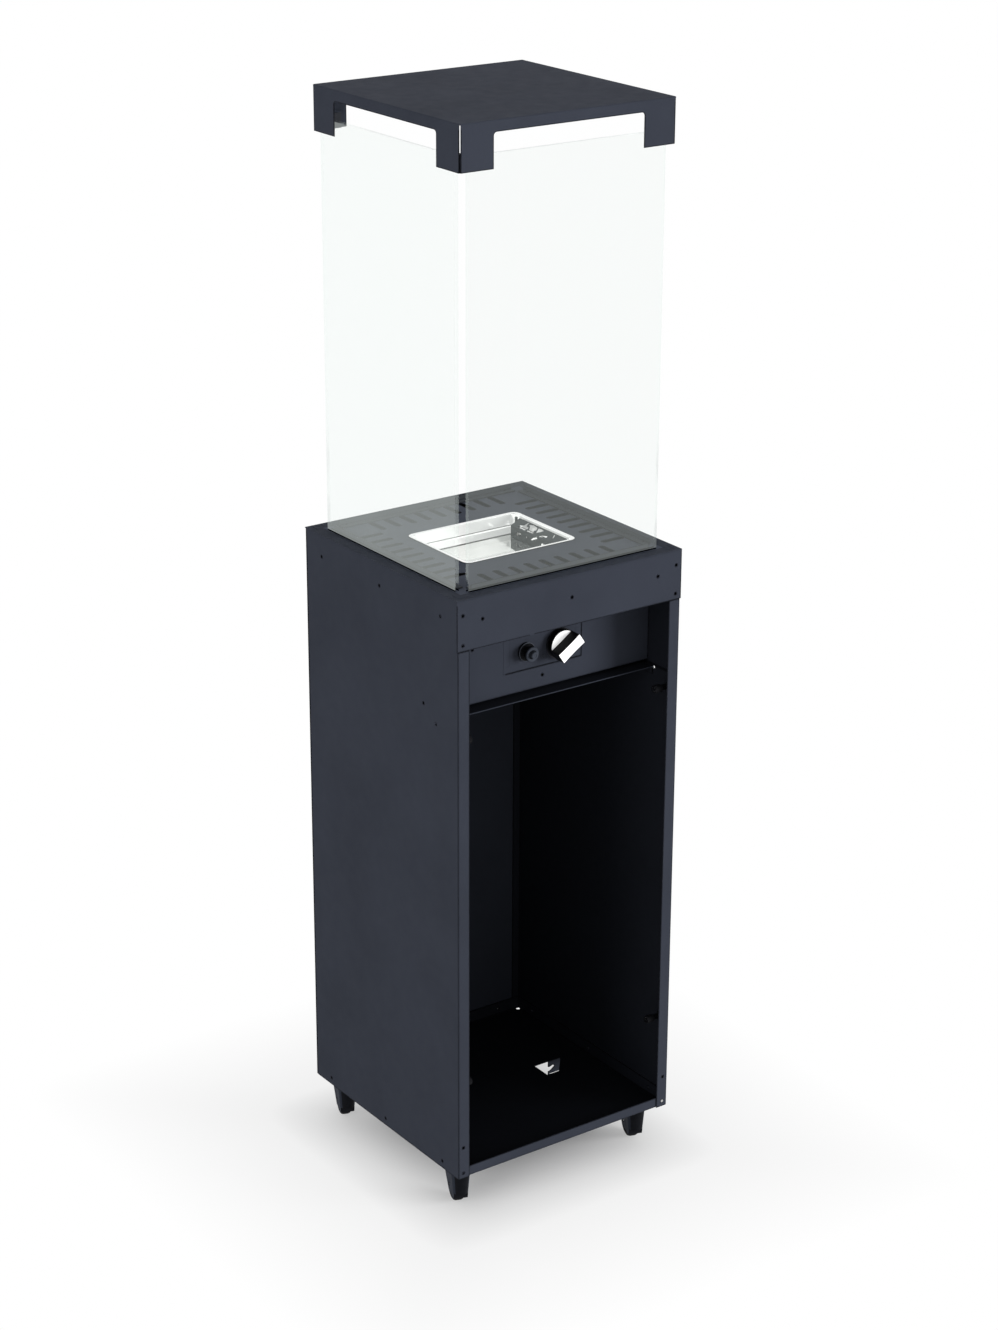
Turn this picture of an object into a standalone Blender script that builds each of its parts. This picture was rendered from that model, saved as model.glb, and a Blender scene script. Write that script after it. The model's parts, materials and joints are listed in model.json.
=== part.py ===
"""A free-standing gas fireplace: a folded sheet cabinet on casters, a burner tray and a glass lantern.

Run with blender --background --python part.py, or from the text editor. Lengths are in metres.
The origin is on the ground under the middle of the cabinet, +Z is up and the door side faces -Y.
Heights in the named sizes are counted from the underside of the cabinet, unless they say otherwise.
"""

import math

import bmesh
import bpy
from mathutils import Matrix, Vector

# Sheet work
SHEET = 0.0012
GAP = 0.0003
WELD = 0.000003
FOLD_RADIUS = 0.0018
OVERRUN = 0.01

# Cabinet
BODY_WIDTH = 0.380
BODY_DEPTH = 0.380
BODY_HEIGHT = 0.8787
GROUND_CLEARANCE = 0.072
PANEL_STEP = 0.0012
OPENING_JAMB = 0.020
LIP_HEIGHT = 0.016
TRAY_FLANGE = 0.022
REAR_RETURN = 0.014
FASCIA_HEIGHT = 0.073
FASCIA_RETURN = 0.018
SCREW_HOLE = 0.0042
PANEL_HOLE_END_ROOM = 0.0415
PANEL_HOLE_LOW = 0.0112
PANEL_HOLE_TOP_DROP = 0.0332
FLANGE_HOLE_INSET = 0.0095
FLANGE_HOLE_LOW = 0.0085
FLANGE_HOLE_HIGH = 0.0498
FASCIA_HOLE_LOW = 0.0086
FASCIA_HOLE_HIGH = 0.0508
FASCIA_HOLE_MIDDLE = 0.0403
CORNER_RELIEF = 0.0035
BACK_HOLE_END_ROOM = 0.043

# Floor cut-out with its bent-down hook
CUTOUT_WIDTH = 0.050
CUTOUT_FRONT_WIDTH = 0.0215
CUTOUT_DEPTH = 0.034
CUTOUT_INSET = 0.070
HOOK_WIDTH = 0.024
HOOK_DROP = 0.021
HOOK_FOOT = 0.0025
HOOK_NOTCH = 0.003
HOOK_NOTCH_DROP = 0.009

# Shelf and control panel
SHELF_DROP = 0.1917
SHELF_FRONT_SETBACK = 0.0545
SHELF_FLANGE = 0.012
SHELF_HOLE_AHEAD = 0.0015
SHELF_HOLE_DROP = 0.001
CONTROL_SETBACK = 0.0666
CONTROL_OVER_SHELF = 0.007
CONTROL_HEIGHT = 0.136
CONTROL_RETURN = 0.025
CONTROL_HOLE_INSET = 0.0164
CONTROL_HOLE_RISE = 0.013
CONTROL_LOW_HOLE_RISE = 0.0177
CONTROL_LEFT_HOLE_INSET = 0.071
CONTROL_LEFT_HOLE_RISE = 0.0804
PLATE_WIDTH = 0.1336
PLATE_RISE = 0.032
PLATE_HEIGHT = 0.074
PLATE_SEAM = 0.0004
PLATE_TAB = 0.010

# Valve, knob and igniter
KNOB_X = 0.029
KNOB_RISE = 0.027
KNOB_RADIUS = 0.022
KNOB_DEPTH = 0.011
KNOB_STAND_OFF = 0.0056
BEZEL_RADIUS = 0.023
BEZEL_DEPTH = 0.001
GRIP_LENGTH = 0.0425
GRIP_WIDTH = 0.0165
GRIP_DEPTH = 0.0125
GRIP_ANGLE = math.radians(36)
STEM_RADIUS = 0.004
STEM_BORE_CLEARANCE = 0.0001
STEM_HOLE_CLEARANCE = 0.0006
STEM_INSIDE = 0.012
PUSH_ROOM = 0.006
VALVE_SIZE = (0.034, 0.038, 0.034)
VALVE_BOSS_RADIUS = 0.010
VALVE_BOSS_LENGTH = 0.014
IGNITER_X = -0.029
IGNITER_RING_RADIUS = 0.0108
IGNITER_RING_DEPTH = 0.004
IGNITER_COLLAR_RADIUS = 0.0088
IGNITER_COLLAR_DEPTH = 0.0125
IGNITER_WAIST_RADIUS = 0.0072
IGNITER_COLLAR_TIP = 0.0070
IGNITER_BODY_RADIUS = 0.0090
IGNITER_BODY_LENGTH = 0.040
BUTTON_RADIUS = 0.0052
BUTTON_DEPTH = 0.005
BUTTON_CLEARANCE = 0.0001
BUTTON_SOCKET = 0.012

# Top plate
SLOT_LENGTH_SHARE = 0.379
SLOT_PLACE_SHARE = 0.416
SLOT_WIDTH = 0.0068
SLOT_END_ROOM = 0.0313
SLOT_COUNT = 9
SKIRT_HEIGHT = 0.044
SLIT_INSET = 0.008
SLIT_ARM = 0.016
SLIT_WIDTH = 0.0008

# Burner tray
BOWL_WIDTH = 0.190
BOWL_DEPTH = 0.150
BOWL_CORNER = 0.009
BOWL_WALL_CORNER = 0.004
BOWL_WELL_CORNER = 0.003
BOWL_RIM = 0.005
BOWL_SHEET = 0.001
BOWL_WALL_DROP = 0.0175
BOWL_LEDGE = 0.004
BOWL_WELL_DROP = 0.011
BOWL_DRAFT = 0.001
BOWL_CLEARANCE = 0.0007

# Burner, pilot and guard at the right end of the tray
GUARD_INSET = 0.024
GUARD_SHEET = 0.0008
GUARD_END_ROOM = 0.014
GUARD_HEIGHT = 0.0215
GUARD_ROOF = 0.0155
GUARD_RISE = 0.004
GUARD_FOOT = 0.006
GUARD_WINDOWS = 5
GUARD_STEPS = 1
BURNER_INSET = 0.0172
BURNER_Y = -0.022
BURNER_LENGTH = 0.070
BURNER_WIDTH = 0.009
BURNER_HEIGHT = 0.009
PORT_WIDTH = 0.0015
PORT_PITCH = 0.006
PORT_DEPTH = 0.003
INLET_RADIUS = 0.005
PILOT_Y = 0.036
PILOT_RADIUS = 0.0035
PILOT_HEIGHT = 0.014
ELECTRODE_Y = 0.048
ELECTRODE_RADIUS = 0.0015
COUPLE_Y = 0.025
COUPLE_RADIUS = 0.002
UNDER_BOWL_STUB = 0.010
INJECTOR_RADIUS = 0.008
INJECTOR_HEIGHT = 0.014

# Pipes
GAS_PIPE_RADIUS = 0.004
PILOT_PIPE_RADIUS = 0.002
NIPPLE_RADIUS = 0.0045
NIPPLE_BARB = 0.0058
NIPPLE_LENGTH = 0.020
PIPE_BEND = 0.015
SHELF_PASS_RADIUS = 0.009
NUT_RADIUS = 0.007
NUT_HEIGHT = 0.006

# Glass and its rails
GLASS_INSET = 0.0185
GLASS_THICKNESS = 0.006
GLASS_CORNER_ROOM = 0.012
GLASS_HEIGHT = 0.584
GLASS_EDGE = 0.0006
RAIL_END_ROOM = 0.0095
RAIL_UPRIGHT = 0.008
RAIL_FOOT = 0.012
RAIL_SHEET = 0.0015

# Roof
ROOF_INSET = 0.0163
ROOF_OVER_GLASS = 0.0426
ROOF_BAND = 0.0156
ROOF_LEG_HEIGHT = 0.0626
ROOF_LEG_WIDTH = 0.0527
ROOF_CUT_RADIUS = 0.0045
ROOF_SLIT = 0.0021
CLAMP_HEIGHT = 0.023
CLAMP_ARM = 0.025
CLAMP_SHEET = 0.0015
CLAMP_BOLT = 0.003
CLAMP_BOLT_DEPTH = 0.008

# Door magnets inside the opening
MAGNET_LOW = 0.145
MAGNET_HIGH_DROP = 0.017
MAGNET_RADIUS = 0.006
MAGNET_LENGTH = 0.012
MAGNET_NECK = 0.004
MAGNET_FOOT_RADIUS = 0.008
MAGNET_FOOT = 0.002
MAGNET_SETBACK = 0.0155
MAGNET_INSET = 0.012

# Casters, with heights from the ground
CASTER_INSET_X = 0.030
CASTER_INSET_Y = 0.038
CASTER_REST_ANGLE = math.radians(20)
CASTER_TRAIL = 0.024
CASTER_PLATE = 0.046
CASTER_PLATE_SHEET = 0.002
CASTER_PLATE_CORNER = 0.005
RACE_RADIUS = 0.0165
RACE_HEIGHT = 0.003
PIN_RADIUS = 0.004
PIN_LENGTH = 0.020
PIN_CLEARANCE = 0.00008
RUNNING_GAP = 0.0004
WHEEL_RADIUS = 0.025
WHEEL_WIDTH = 0.015
WHEEL_ROUNDING = 0.003
WHEEL_SIDE_GAP = 0.0008
WHEEL_TOP_GAP = 0.0018
HUB_RECESS = 0.002
WHEEL_RIM = 0.005
CHEEK = 0.0016
HOOD_SHELL = 0.0018
HEAD_RADIUS = 0.0155
HEAD_FOOT_RADIUS = 0.0115
AXLE_RADIUS = 0.0029
AXLE_CLEARANCE = 0.00008
AXLE_SEAT_GAP = 0.0002
AXLE_BOSS = 0.009
HOOD_START = math.radians(202)
HOOD_END = math.radians(28)
BOSS_START = math.radians(-20)
BOSS_END = math.radians(-150)

# Facets round a full turn
ROUND_SIDES = 24
FINE_SIDES = 32
SMALL_SIDES = 16
HOLE_SIDES = 8
NUT_SIDES = 6
CORNER_STEPS = 3
SLOT_END_STEPS = 3
HOOD_STEPS = 8
PARALLEL_SHARE = 0.999

# Places worked out from the sizes above
HALF_WIDTH = BODY_WIDTH / 2
HALF_DEPTH = BODY_DEPTH / 2
PANEL_X = HALF_WIDTH - PANEL_STEP
PANEL_INSIDE = PANEL_X - SHEET
FITTED_X = PANEL_INSIDE - GAP
PANEL_REAR = HALF_DEPTH - SHEET - GAP
FITTED_REAR = PANEL_REAR - SHEET - GAP
FITTED_FRONT = -HALF_DEPTH + SHEET + GAP
PANEL_TOP = BODY_HEIGHT - SHEET - GAP
FASCIA_BOTTOM = BODY_HEIGHT - FASCIA_HEIGHT
OPENING_WIDTH = BODY_WIDTH - 2 * OPENING_JAMB
SIDE_HOLE_PITCH = HALF_DEPTH - PANEL_HOLE_END_ROOM
FASCIA_HOLE_PITCH = HALF_WIDTH - PANEL_HOLE_END_ROOM
BACK_HOLE_PITCH = HALF_WIDTH - BACK_HOLE_END_ROOM
CUTOUT_MIDDLE_X = HALF_WIDTH - CUTOUT_INSET
SHELF_HEIGHT = BODY_HEIGHT - SHELF_DROP
SHELF_FRONT = -HALF_DEPTH + SHELF_FRONT_SETBACK
MAGNET_HIGH = SHELF_HEIGHT - MAGNET_HIGH_DROP
CONTROL_BOTTOM = SHELF_HEIGHT + CONTROL_OVER_SHELF
PLATE_BOTTOM = CONTROL_BOTTOM + PLATE_RISE
KNOB_HEIGHT = PLATE_BOTTOM + KNOB_RISE
CONTROL_Y = -HALF_DEPTH + CONTROL_SETBACK
CONTROL_HOLE_Y = CONTROL_Y + CONTROL_HOLE_INSET
CONTROL_HOLE_Z = CONTROL_BOTTOM + CONTROL_HOLE_RISE
ON_TOP = BODY_HEIGHT + GAP
BOWL_FLOOR = ON_TOP + BOWL_SHEET - BOWL_WALL_DROP - BOWL_WELL_DROP
TOP_MARGIN = HALF_WIDTH - BOWL_WIDTH / 2
SLOT_LENGTH = TOP_MARGIN * SLOT_LENGTH_SHARE
SLOT_MIDDLE = BOWL_WIDTH / 2 + TOP_MARGIN * SLOT_PLACE_SHARE
SLOT_PITCH = 2 * (SLOT_MIDDLE - SLOT_END_ROOM) / (SLOT_COUNT - 1)
GUARD_X = BOWL_WIDTH / 2 - GUARD_INSET
GUARD_LENGTH = BOWL_DEPTH - 2 * GUARD_END_ROOM
BURNER_X = BOWL_WIDTH / 2 - BURNER_INSET
GLASS_OUTSIDE = HALF_WIDTH - GLASS_INSET
GLASS_INSIDE = GLASS_OUTSIDE - GLASS_THICKNESS
GLASS_WIDTH = 2 * (GLASS_OUTSIDE - GLASS_CORNER_ROOM)
RAIL_LENGTH = GLASS_WIDTH - 2 * RAIL_END_ROOM
ROOF_WIDTH = ROOF_DEPTH = BODY_WIDTH - 2 * ROOF_INSET
ROOF_TOP = ON_TOP + GLASS_HEIGHT + ROOF_OVER_GLASS
CASTER_X = HALF_WIDTH - CASTER_INSET_X
CASTER_Y = HALF_DEPTH - CASTER_INSET_Y
RAIL_FACE = GLASS_INSIDE - GAP
KNOB_FRONT = CONTROL_Y - KNOB_STAND_OFF - KNOB_DEPTH
AXLE_HEIGHT = WHEEL_RADIUS * math.cos(math.pi / ROUND_SIDES)
ALONG = {"X": Vector((1, 0, 0)), "Y": Vector((0, 1, 0)), "Z": Vector((0, 0, 1))}
PLANES = {
    "Z": Matrix(((1, 0, 0), (0, 1, 0), (0, 0, 1))),
    "Y": Matrix(((1, 0, 0), (0, 0, -1), (0, 1, 0))),
    "X": Matrix(((0, 0, 1), (1, 0, 0), (0, 1, 0))),
}


def clear_scene():
    for obj in list(bpy.data.objects):
        bpy.data.objects.remove(obj, do_unlink=True)


def new_collection(name):
    collection = bpy.data.collections.new(name)
    bpy.context.scene.collection.children.link(collection)
    return collection


def new_material(name, color, roughness, metallic=0.0, alpha=1.0):
    made = bpy.data.materials.new(name)
    made.use_nodes = True
    shader = made.node_tree.nodes["Principled BSDF"]
    shader.inputs["Base Color"].default_value = (*color, 1)
    shader.inputs["Roughness"].default_value = roughness
    shader.inputs["Metallic"].default_value = metallic
    shader.inputs["Alpha"].default_value = alpha
    made.diffuse_color = (*color, alpha)
    return made


def add_empty(name, location, turn=0.0):
    empty = bpy.data.objects.new(name, None)
    empty.location = location
    empty.rotation_euler.z = turn
    PARTS.objects.link(empty)
    return empty


def add_object(name, mesh, material, parent, location=(0, 0, 0)):
    obj = bpy.data.objects.new(name, mesh)
    obj.location = location
    obj.parent = parent
    if material is None:
        obj.hide_render = True
        obj.display_type = "WIRE"
        CUTTERS.objects.link(obj)
        return obj
    mesh.materials.clear()
    mesh.materials.append(material)
    mesh.shade_smooth()
    mesh.set_sharp_from_angle(angle=math.radians(30))
    PARTS.objects.link(obj)
    return obj


def flat_mesh(outlines, normal, span):
    """A plate between two places along its normal axis, with an outline and any number of holes."""
    curve = bpy.data.curves.new("outline", "CURVE")
    curve.dimensions = "2D"
    curve.fill_mode = "BOTH"
    curve.extrude = abs(span[1] - span[0]) / 2
    for outline in outlines:
        spline = curve.splines.new("POLY")
        spline.points.add(len(outline) - 1)
        spline.use_cyclic_u = True
        for point, (across, up) in zip(spline.points, outline):
            point.co = (across, up, 0, 1)
    guide = bpy.data.objects.new("outline", curve)
    CUTTERS.objects.link(guide)
    graph = bpy.context.evaluated_depsgraph_get()
    mesh = bpy.data.meshes.new_from_object(guide.evaluated_get(graph))
    bpy.data.objects.remove(guide, do_unlink=True)
    bpy.data.curves.remove(curve)
    middle = ALONG[normal] * (span[0] + span[1]) / 2
    mesh.transform(Matrix.Translation(middle) @ PLANES[normal].to_4x4())
    finished = bmesh.new()
    finished.from_mesh(mesh)
    bmesh.ops.remove_doubles(finished, verts=finished.verts, dist=WELD)
    bmesh.ops.recalc_face_normals(finished, faces=finished.faces)
    finished.to_mesh(mesh)
    finished.free()
    return mesh


def shapes_mesh(shapes):
    """One mesh of several boxes and rods, each given as a function that adds itself."""
    building = bmesh.new()
    for shape in shapes:
        shape(building)
    mesh = bpy.data.meshes.new("shapes")
    building.to_mesh(mesh)
    building.free()
    return mesh


def box(corner, opposite):
    """A box between two opposite corners, in any order."""
    corner, opposite = Vector(corner), Vector(opposite)
    size = [abs(length) for length in opposite - corner]
    place = Matrix.Translation((corner + opposite) / 2) @ Matrix.Diagonal((*size, 1))
    return lambda building: bmesh.ops.create_cube(building, size=1, matrix=place)


def rod(start, end, radius, end_radius=None, sides=ROUND_SIDES):
    start, end = Vector(start), Vector(end)
    turn = ALONG["Z"].rotation_difference(end - start).to_matrix().to_4x4()
    place = Matrix.Translation((start + end) / 2) @ turn
    return lambda building: bmesh.ops.create_cone(
        building,
        cap_ends=True,
        segments=sides,
        radius1=radius,
        radius2=radius if end_radius is None else end_radius,
        depth=(end - start).length,
        matrix=place,
    )


def across(axis, middle, half):
    """The two end points of a rod along an axis."""
    middle = Vector(middle)
    return middle - ALONG[axis] * half, middle + ALONG[axis] * half


def screw_hole(axis, middle):
    """A cutter for one screw hole through a sheet."""
    return rod(*across(axis, middle, 2 * SHEET), SCREW_HOLE / 2, sides=HOLE_SIDES)


def join(obj, mesh, operation="DIFFERENCE"):
    """Cuts the mesh from the object, or adds it."""
    helper = add_object(obj.name + "_" + operation.lower(), mesh, None, obj.parent, obj.location)
    modifier = obj.modifiers.new(operation.title(), "BOOLEAN")
    modifier.operation = operation
    modifier.object = helper
    return obj


def open_box(name, low, high, open_sides, material, parent, sheet=SHEET, fold=FOLD_RADIUS):
    """A folded sheet box that lacks the sides named by their outward directions."""
    building = bmesh.new()
    box(low, high)(building)
    gone = [
        face
        for face in building.faces
        if any(face.normal.dot(Vector(side)) > PARALLEL_SHARE for side in open_sides)
    ]
    bmesh.ops.delete(building, geom=gone, context="FACES")
    mesh = bpy.data.meshes.new(name)
    building.to_mesh(mesh)
    building.free()
    obj = add_object(name, mesh, material, parent)
    bend = obj.modifiers.new("Folds", "BEVEL")
    bend.width = fold
    bend.segments = CORNER_STEPS - 1
    wall = obj.modifiers.new("Wall", "SOLIDIFY")
    wall.thickness = sheet
    wall.offset = -1
    wall.use_even_offset = True
    return obj


def turned(name, profile, axis, material, parent, location, sides=SMALL_SIDES):
    """A turned piece: profile points are (radius, place along the axis), top to bottom outside."""
    mesh = bpy.data.meshes.new(name)
    line = bmesh.new()
    points = [line.verts.new((radius, 0, height)) for radius, height in profile]
    for first, second in zip(points, points[1:]):
        line.edges.new((first, second))
    line.to_mesh(mesh)
    line.free()
    obj = add_object(name, mesh, material, parent, location)
    obj.rotation_euler = ALONG["Z"].rotation_difference(Vector(axis)).to_euler()
    screw = obj.modifiers.new("Turn", "SCREW")
    screw.steps = screw.render_steps = sides
    screw.use_merge_vertices = True
    screw.merge_threshold = WELD
    screw.use_smooth_shade = True
    return obj


def tube(name, points, radius, material, parent):
    """A bent pipe through the points, with round bends."""
    curve = bpy.data.curves.new(name, "CURVE")
    curve.dimensions = "3D"
    curve.bevel_depth = radius
    curve.bevel_resolution = 2
    curve.use_fill_caps = True
    route = rounded_route([Vector(point) for point in points], PIPE_BEND)
    spline = curve.splines.new("POLY")
    spline.points.add(len(route) - 1)
    for point, place in zip(spline.points, route):
        point.co = (*place, 1)
    obj = bpy.data.objects.new(name, curve)
    curve.materials.append(material)
    obj.parent = parent
    PARTS.objects.link(obj)
    return obj


def rounded_route(points, radius, steps=4):
    """The points with each corner replaced by a short curve that starts a radius before it."""
    route = [points[0]]
    for before, corner, after in zip(points, points[1:], points[2:]):
        reach = min(radius, (before - corner).length / 2, (after - corner).length / 2)
        start = corner + (before - corner).normalized() * reach
        end = corner + (after - corner).normalized() * reach
        for step in range(steps + 1):
            share = step / steps
            near = start.lerp(corner, share)
            route.append(near.lerp(corner.lerp(end, share), share))
    return route + [points[-1]]


def rounded_rectangle(width, depth, radius, middle=(0, 0), steps=CORNER_STEPS):
    points = []
    for turn, (right, up) in enumerate(((1, 1), (-1, 1), (-1, -1), (1, -1))):
        corner_x = middle[0] + right * (width / 2 - radius)
        corner_y = middle[1] + up * (depth / 2 - radius)
        for step in range(steps + 1):
            angle = (turn + step / steps) * math.pi / 2
            points.append((corner_x + radius * math.cos(angle), corner_y + radius * math.sin(angle)))
    return points


def rectangle(low, high):
    return [low, (high[0], low[1]), high, (low[0], high[1])]


def circle(middle, radius, sides=HOLE_SIDES):
    angles = [2 * math.pi * step / sides for step in range(sides)]
    return [(middle[0] + radius * math.cos(a), middle[1] + radius * math.sin(a)) for a in angles]


def arc(middle, radius, start, end, steps):
    """Points along part of a circle, both ends included."""
    angles = [start + (end - start) * step / steps for step in range(steps + 1)]
    return [(middle[0] + radius * math.cos(a), middle[1] + radius * math.sin(a)) for a in angles]


def offset_path(path, distance):
    """The open path moved to its right-hand side, with mitred corners."""
    normals = []
    for (ax, ay), (bx, by) in zip(path, path[1:]):
        length = math.hypot(bx - ax, by - ay)
        normals.append(((by - ay) / length, (ax - bx) / length))
    moved = []
    for index, (x, y) in enumerate(path):
        first = normals[max(index - 1, 0)]
        second = normals[min(index, len(normals) - 1)]
        scale = distance / (1 + first[0] * second[0] + first[1] * second[1])
        moved.append((x + (first[0] + second[0]) * scale, y + (first[1] + second[1]) * scale))
    return moved


def rounded_path(path, radius):
    if radius <= 0:
        return list(path)
    route = rounded_route([Vector((x, y, 0)) for x, y in path], radius, CORNER_STEPS)
    return [(point.x, point.y) for point in route]


def folded(path, sheet=SHEET, radius=FOLD_RADIUS):
    """The cut edge of a folded sheet whose outer line is the path, with its metal on the right."""
    outside = rounded_path(path, radius)
    inside = rounded_path(offset_path(path, sheet), radius - sheet)
    return outside + inside[::-1]


def mirrored(outline, side):
    return [(x * side, y) for x, y in outline]


def side_panel(name, side, parent):
    """A cabinet side with its front flange beside the opening and its return at the back."""
    plan = folded([
        (-OPENING_WIDTH / 2, -HALF_DEPTH),
        (-PANEL_X, -HALF_DEPTH),
        (-PANEL_X, PANEL_REAR),
        (-PANEL_X + REAR_RETURN, PANEL_REAR),
    ])
    mesh = flat_mesh([mirrored(plan, -side)], "Z", (0, PANEL_TOP))
    obj = add_object(name, mesh, COAT, parent)
    wide = HALF_WIDTH + OVERRUN
    above = (FASCIA_BOTTOM - GAP, PANEL_TOP + OVERRUN)
    behind_fascia = box((-wide, -HALF_DEPTH - OVERRUN, above[0]), (wide, FITTED_FRONT, above[1]))
    join(obj, shapes_mesh([behind_fascia]))
    top_row = BODY_HEIGHT - PANEL_HOLE_TOP_DROP
    places = [(step * SIDE_HOLE_PITCH, up) for step in (-1, 0, 1) for up in (PANEL_HOLE_LOW, top_row)]
    places.append((SHELF_FRONT - SHELF_HOLE_AHEAD, SHELF_HEIGHT - SHELF_HOLE_DROP))
    places.append((CONTROL_HOLE_Y, CONTROL_HOLE_Z))
    shapes = [screw_hole("X", (side * PANEL_X, along, up)) for along, up in places]
    edge = side * (HALF_WIDTH - FLANGE_HOLE_INSET)
    shapes += [screw_hole("Y", (edge, -HALF_DEPTH, up)) for up in (FLANGE_HOLE_LOW, FLANGE_HOLE_HIGH)]
    return join(obj, shapes_mesh(shapes))


def back_panel(parent):
    low = (-PANEL_X, GAP)
    high = (PANEL_X, PANEL_TOP)
    top_row = BODY_HEIGHT - PANEL_HOLE_TOP_DROP
    places = [(step * BACK_HOLE_PITCH, up) for step in (-1, 0, 1) for up in (PANEL_HOLE_LOW, top_row)]
    holes = [circle(place, SCREW_HOLE / 2) for place in places]
    mesh = flat_mesh([rectangle(low, high), *holes], "Y", (HALF_DEPTH - SHEET, HALF_DEPTH))
    return add_object("back_panel", mesh, COAT, parent)


def floor_tray(parent):
    """The compartment floor: four up-turned flanges, the low front lip and a cut-out with a hook."""
    obj = open_box(
        "floor_tray",
        (-FITTED_X, FITTED_FRONT, 0),
        (FITTED_X, FITTED_REAR, TRAY_FLANGE),
        [(0, 0, 1)],
        COAT,
        parent,
    )
    inner = FITTED_X - SHEET - FOLD_RADIUS
    lip_back = FITTED_FRONT + SHEET + FOLD_RADIUS
    low_lip = box((-inner, FITTED_FRONT - OVERRUN, LIP_HEIGHT), (inner, lip_back, TRAY_FLANGE + OVERRUN))
    corners = [
        rod(*across("Z", (side * inner, end, 0), 2 * SHEET), CORNER_RELIEF, sides=HOLE_SIDES)
        for side in (-1, 1)
        for end in (lip_back, FITTED_REAR - SHEET - FOLD_RADIUS)
    ]
    left = CUTOUT_MIDDLE_X - CUTOUT_WIDTH / 2
    right = CUTOUT_MIDDLE_X + CUTOUT_WIDTH / 2
    join(obj, shapes_mesh([low_lip, *corners]))
    cutout = [
        (left, -CUTOUT_DEPTH / 2),
        (left + CUTOUT_FRONT_WIDTH, -CUTOUT_DEPTH / 2),
        (right, CUTOUT_DEPTH / 2),
        (left, CUTOUT_DEPTH / 2),
    ]
    join(obj, flat_mesh([cutout], "Z", (-OVERRUN, OVERRUN)))
    hook_left = right - HOOK_WIDTH
    notch_top = -HOOK_NOTCH_DROP
    outline = [
        (hook_left, SHEET / 2),
        (hook_left, notch_top),
        (hook_left + HOOK_NOTCH, notch_top - HOOK_NOTCH / 6),
        (hook_left + 3 * HOOK_NOTCH, notch_top + HOOK_NOTCH / 2),
        (hook_left + 4 * HOOK_NOTCH, notch_top - HOOK_NOTCH / 2),
        (hook_left + 2 * HOOK_NOTCH, notch_top - 2 * HOOK_NOTCH),
        (hook_left + HOOK_NOTCH, notch_top - HOOK_NOTCH * 5 / 2),
        (hook_left, notch_top - HOOK_NOTCH * 8 / 3),
        (hook_left, -HOOK_DROP - HOOK_FOOT),
        (hook_left + HOOK_NOTCH, -HOOK_DROP - HOOK_FOOT),
        (hook_left + HOOK_NOTCH, -HOOK_DROP),
        (right, -HOOK_DROP),
        (right, SHEET / 2),
    ]
    hook = flat_mesh([outline], "Y", (CUTOUT_DEPTH / 2 - SHEET / 2, CUTOUT_DEPTH / 2 + SHEET / 2))
    join(obj, hook, "UNION")
    holes = []
    for step in (-1, 0, 1):
        holes.append(screw_hole("Y", (step * BACK_HOLE_PITCH, FITTED_REAR, PANEL_HOLE_LOW)))
        for side in (-1, 1):
            holes.append(screw_hole("X", (side * FITTED_X, step * SIDE_HOLE_PITCH, PANEL_HOLE_LOW)))
    return join(obj, shapes_mesh(holes))


def front_fascia(parent):
    """The band above the opening, as wide as the top, with returns that fit between the sides."""
    back = -HALF_DEPTH + FASCIA_RETURN
    path = [(back, FASCIA_BOTTOM), (-HALF_DEPTH, FASCIA_BOTTOM), (-HALF_DEPTH, PANEL_TOP), (back, PANEL_TOP)]
    section = path + offset_path(path, SHEET)[::-1]
    mesh = flat_mesh([section], "X", (-HALF_WIDTH, HALF_WIDTH))
    obj = add_object("front_fascia", mesh, COAT, parent)
    behind = -HALF_DEPTH + SHEET
    ends = [
        box(
            (side * FITTED_X, behind, FASCIA_BOTTOM - OVERRUN),
            (side * (HALF_WIDTH + OVERRUN), back + OVERRUN, PANEL_TOP + OVERRUN),
        )
        for side in (-1, 1)
    ]
    join(obj, shapes_mesh(ends))
    edge = HALF_WIDTH - FLANGE_HOLE_INSET
    places = [(side * edge, up) for side in (-1, 1) for up in (FASCIA_HOLE_LOW, FASCIA_HOLE_HIGH)]
    places += [(step * FASCIA_HOLE_PITCH, FASCIA_HOLE_MIDDLE) for step in (-1, 0, 1)]
    shapes = [screw_hole("Y", (along, -HALF_DEPTH, FASCIA_BOTTOM + up)) for along, up in places]
    return join(obj, shapes_mesh(shapes))


def slot(middle, along_x):
    """A round-ended vent slot."""
    radius = SLOT_WIDTH / 2
    straight = SLOT_LENGTH / 2 - radius
    points = []
    for end in (-1, 1):
        for step in range(SLOT_END_STEPS + 1):
            angle = math.pi * (step / SLOT_END_STEPS - end / 2)
            points.append((end * straight + radius * math.cos(angle), radius * math.sin(angle)))
    if not along_x:
        points = [(up, right) for right, up in points]
    return [(middle[0] + right, middle[1] + up) for right, up in points]


def corner_slit(side, end):
    """The narrow L-shaped relief slit near a corner of the top."""
    outer = HALF_WIDTH - SLIT_INSET
    far = HALF_DEPTH - SLIT_INSET
    points = [
        (outer, far),
        (outer - SLIT_ARM, far),
        (outer - SLIT_ARM, far - SLIT_WIDTH),
        (outer - SLIT_WIDTH, far - SLIT_WIDTH),
        (outer - SLIT_WIDTH, far - SLIT_ARM),
        (outer, far - SLIT_ARM),
    ]
    return [(side * x, end * y) for x, y in points]


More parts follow.
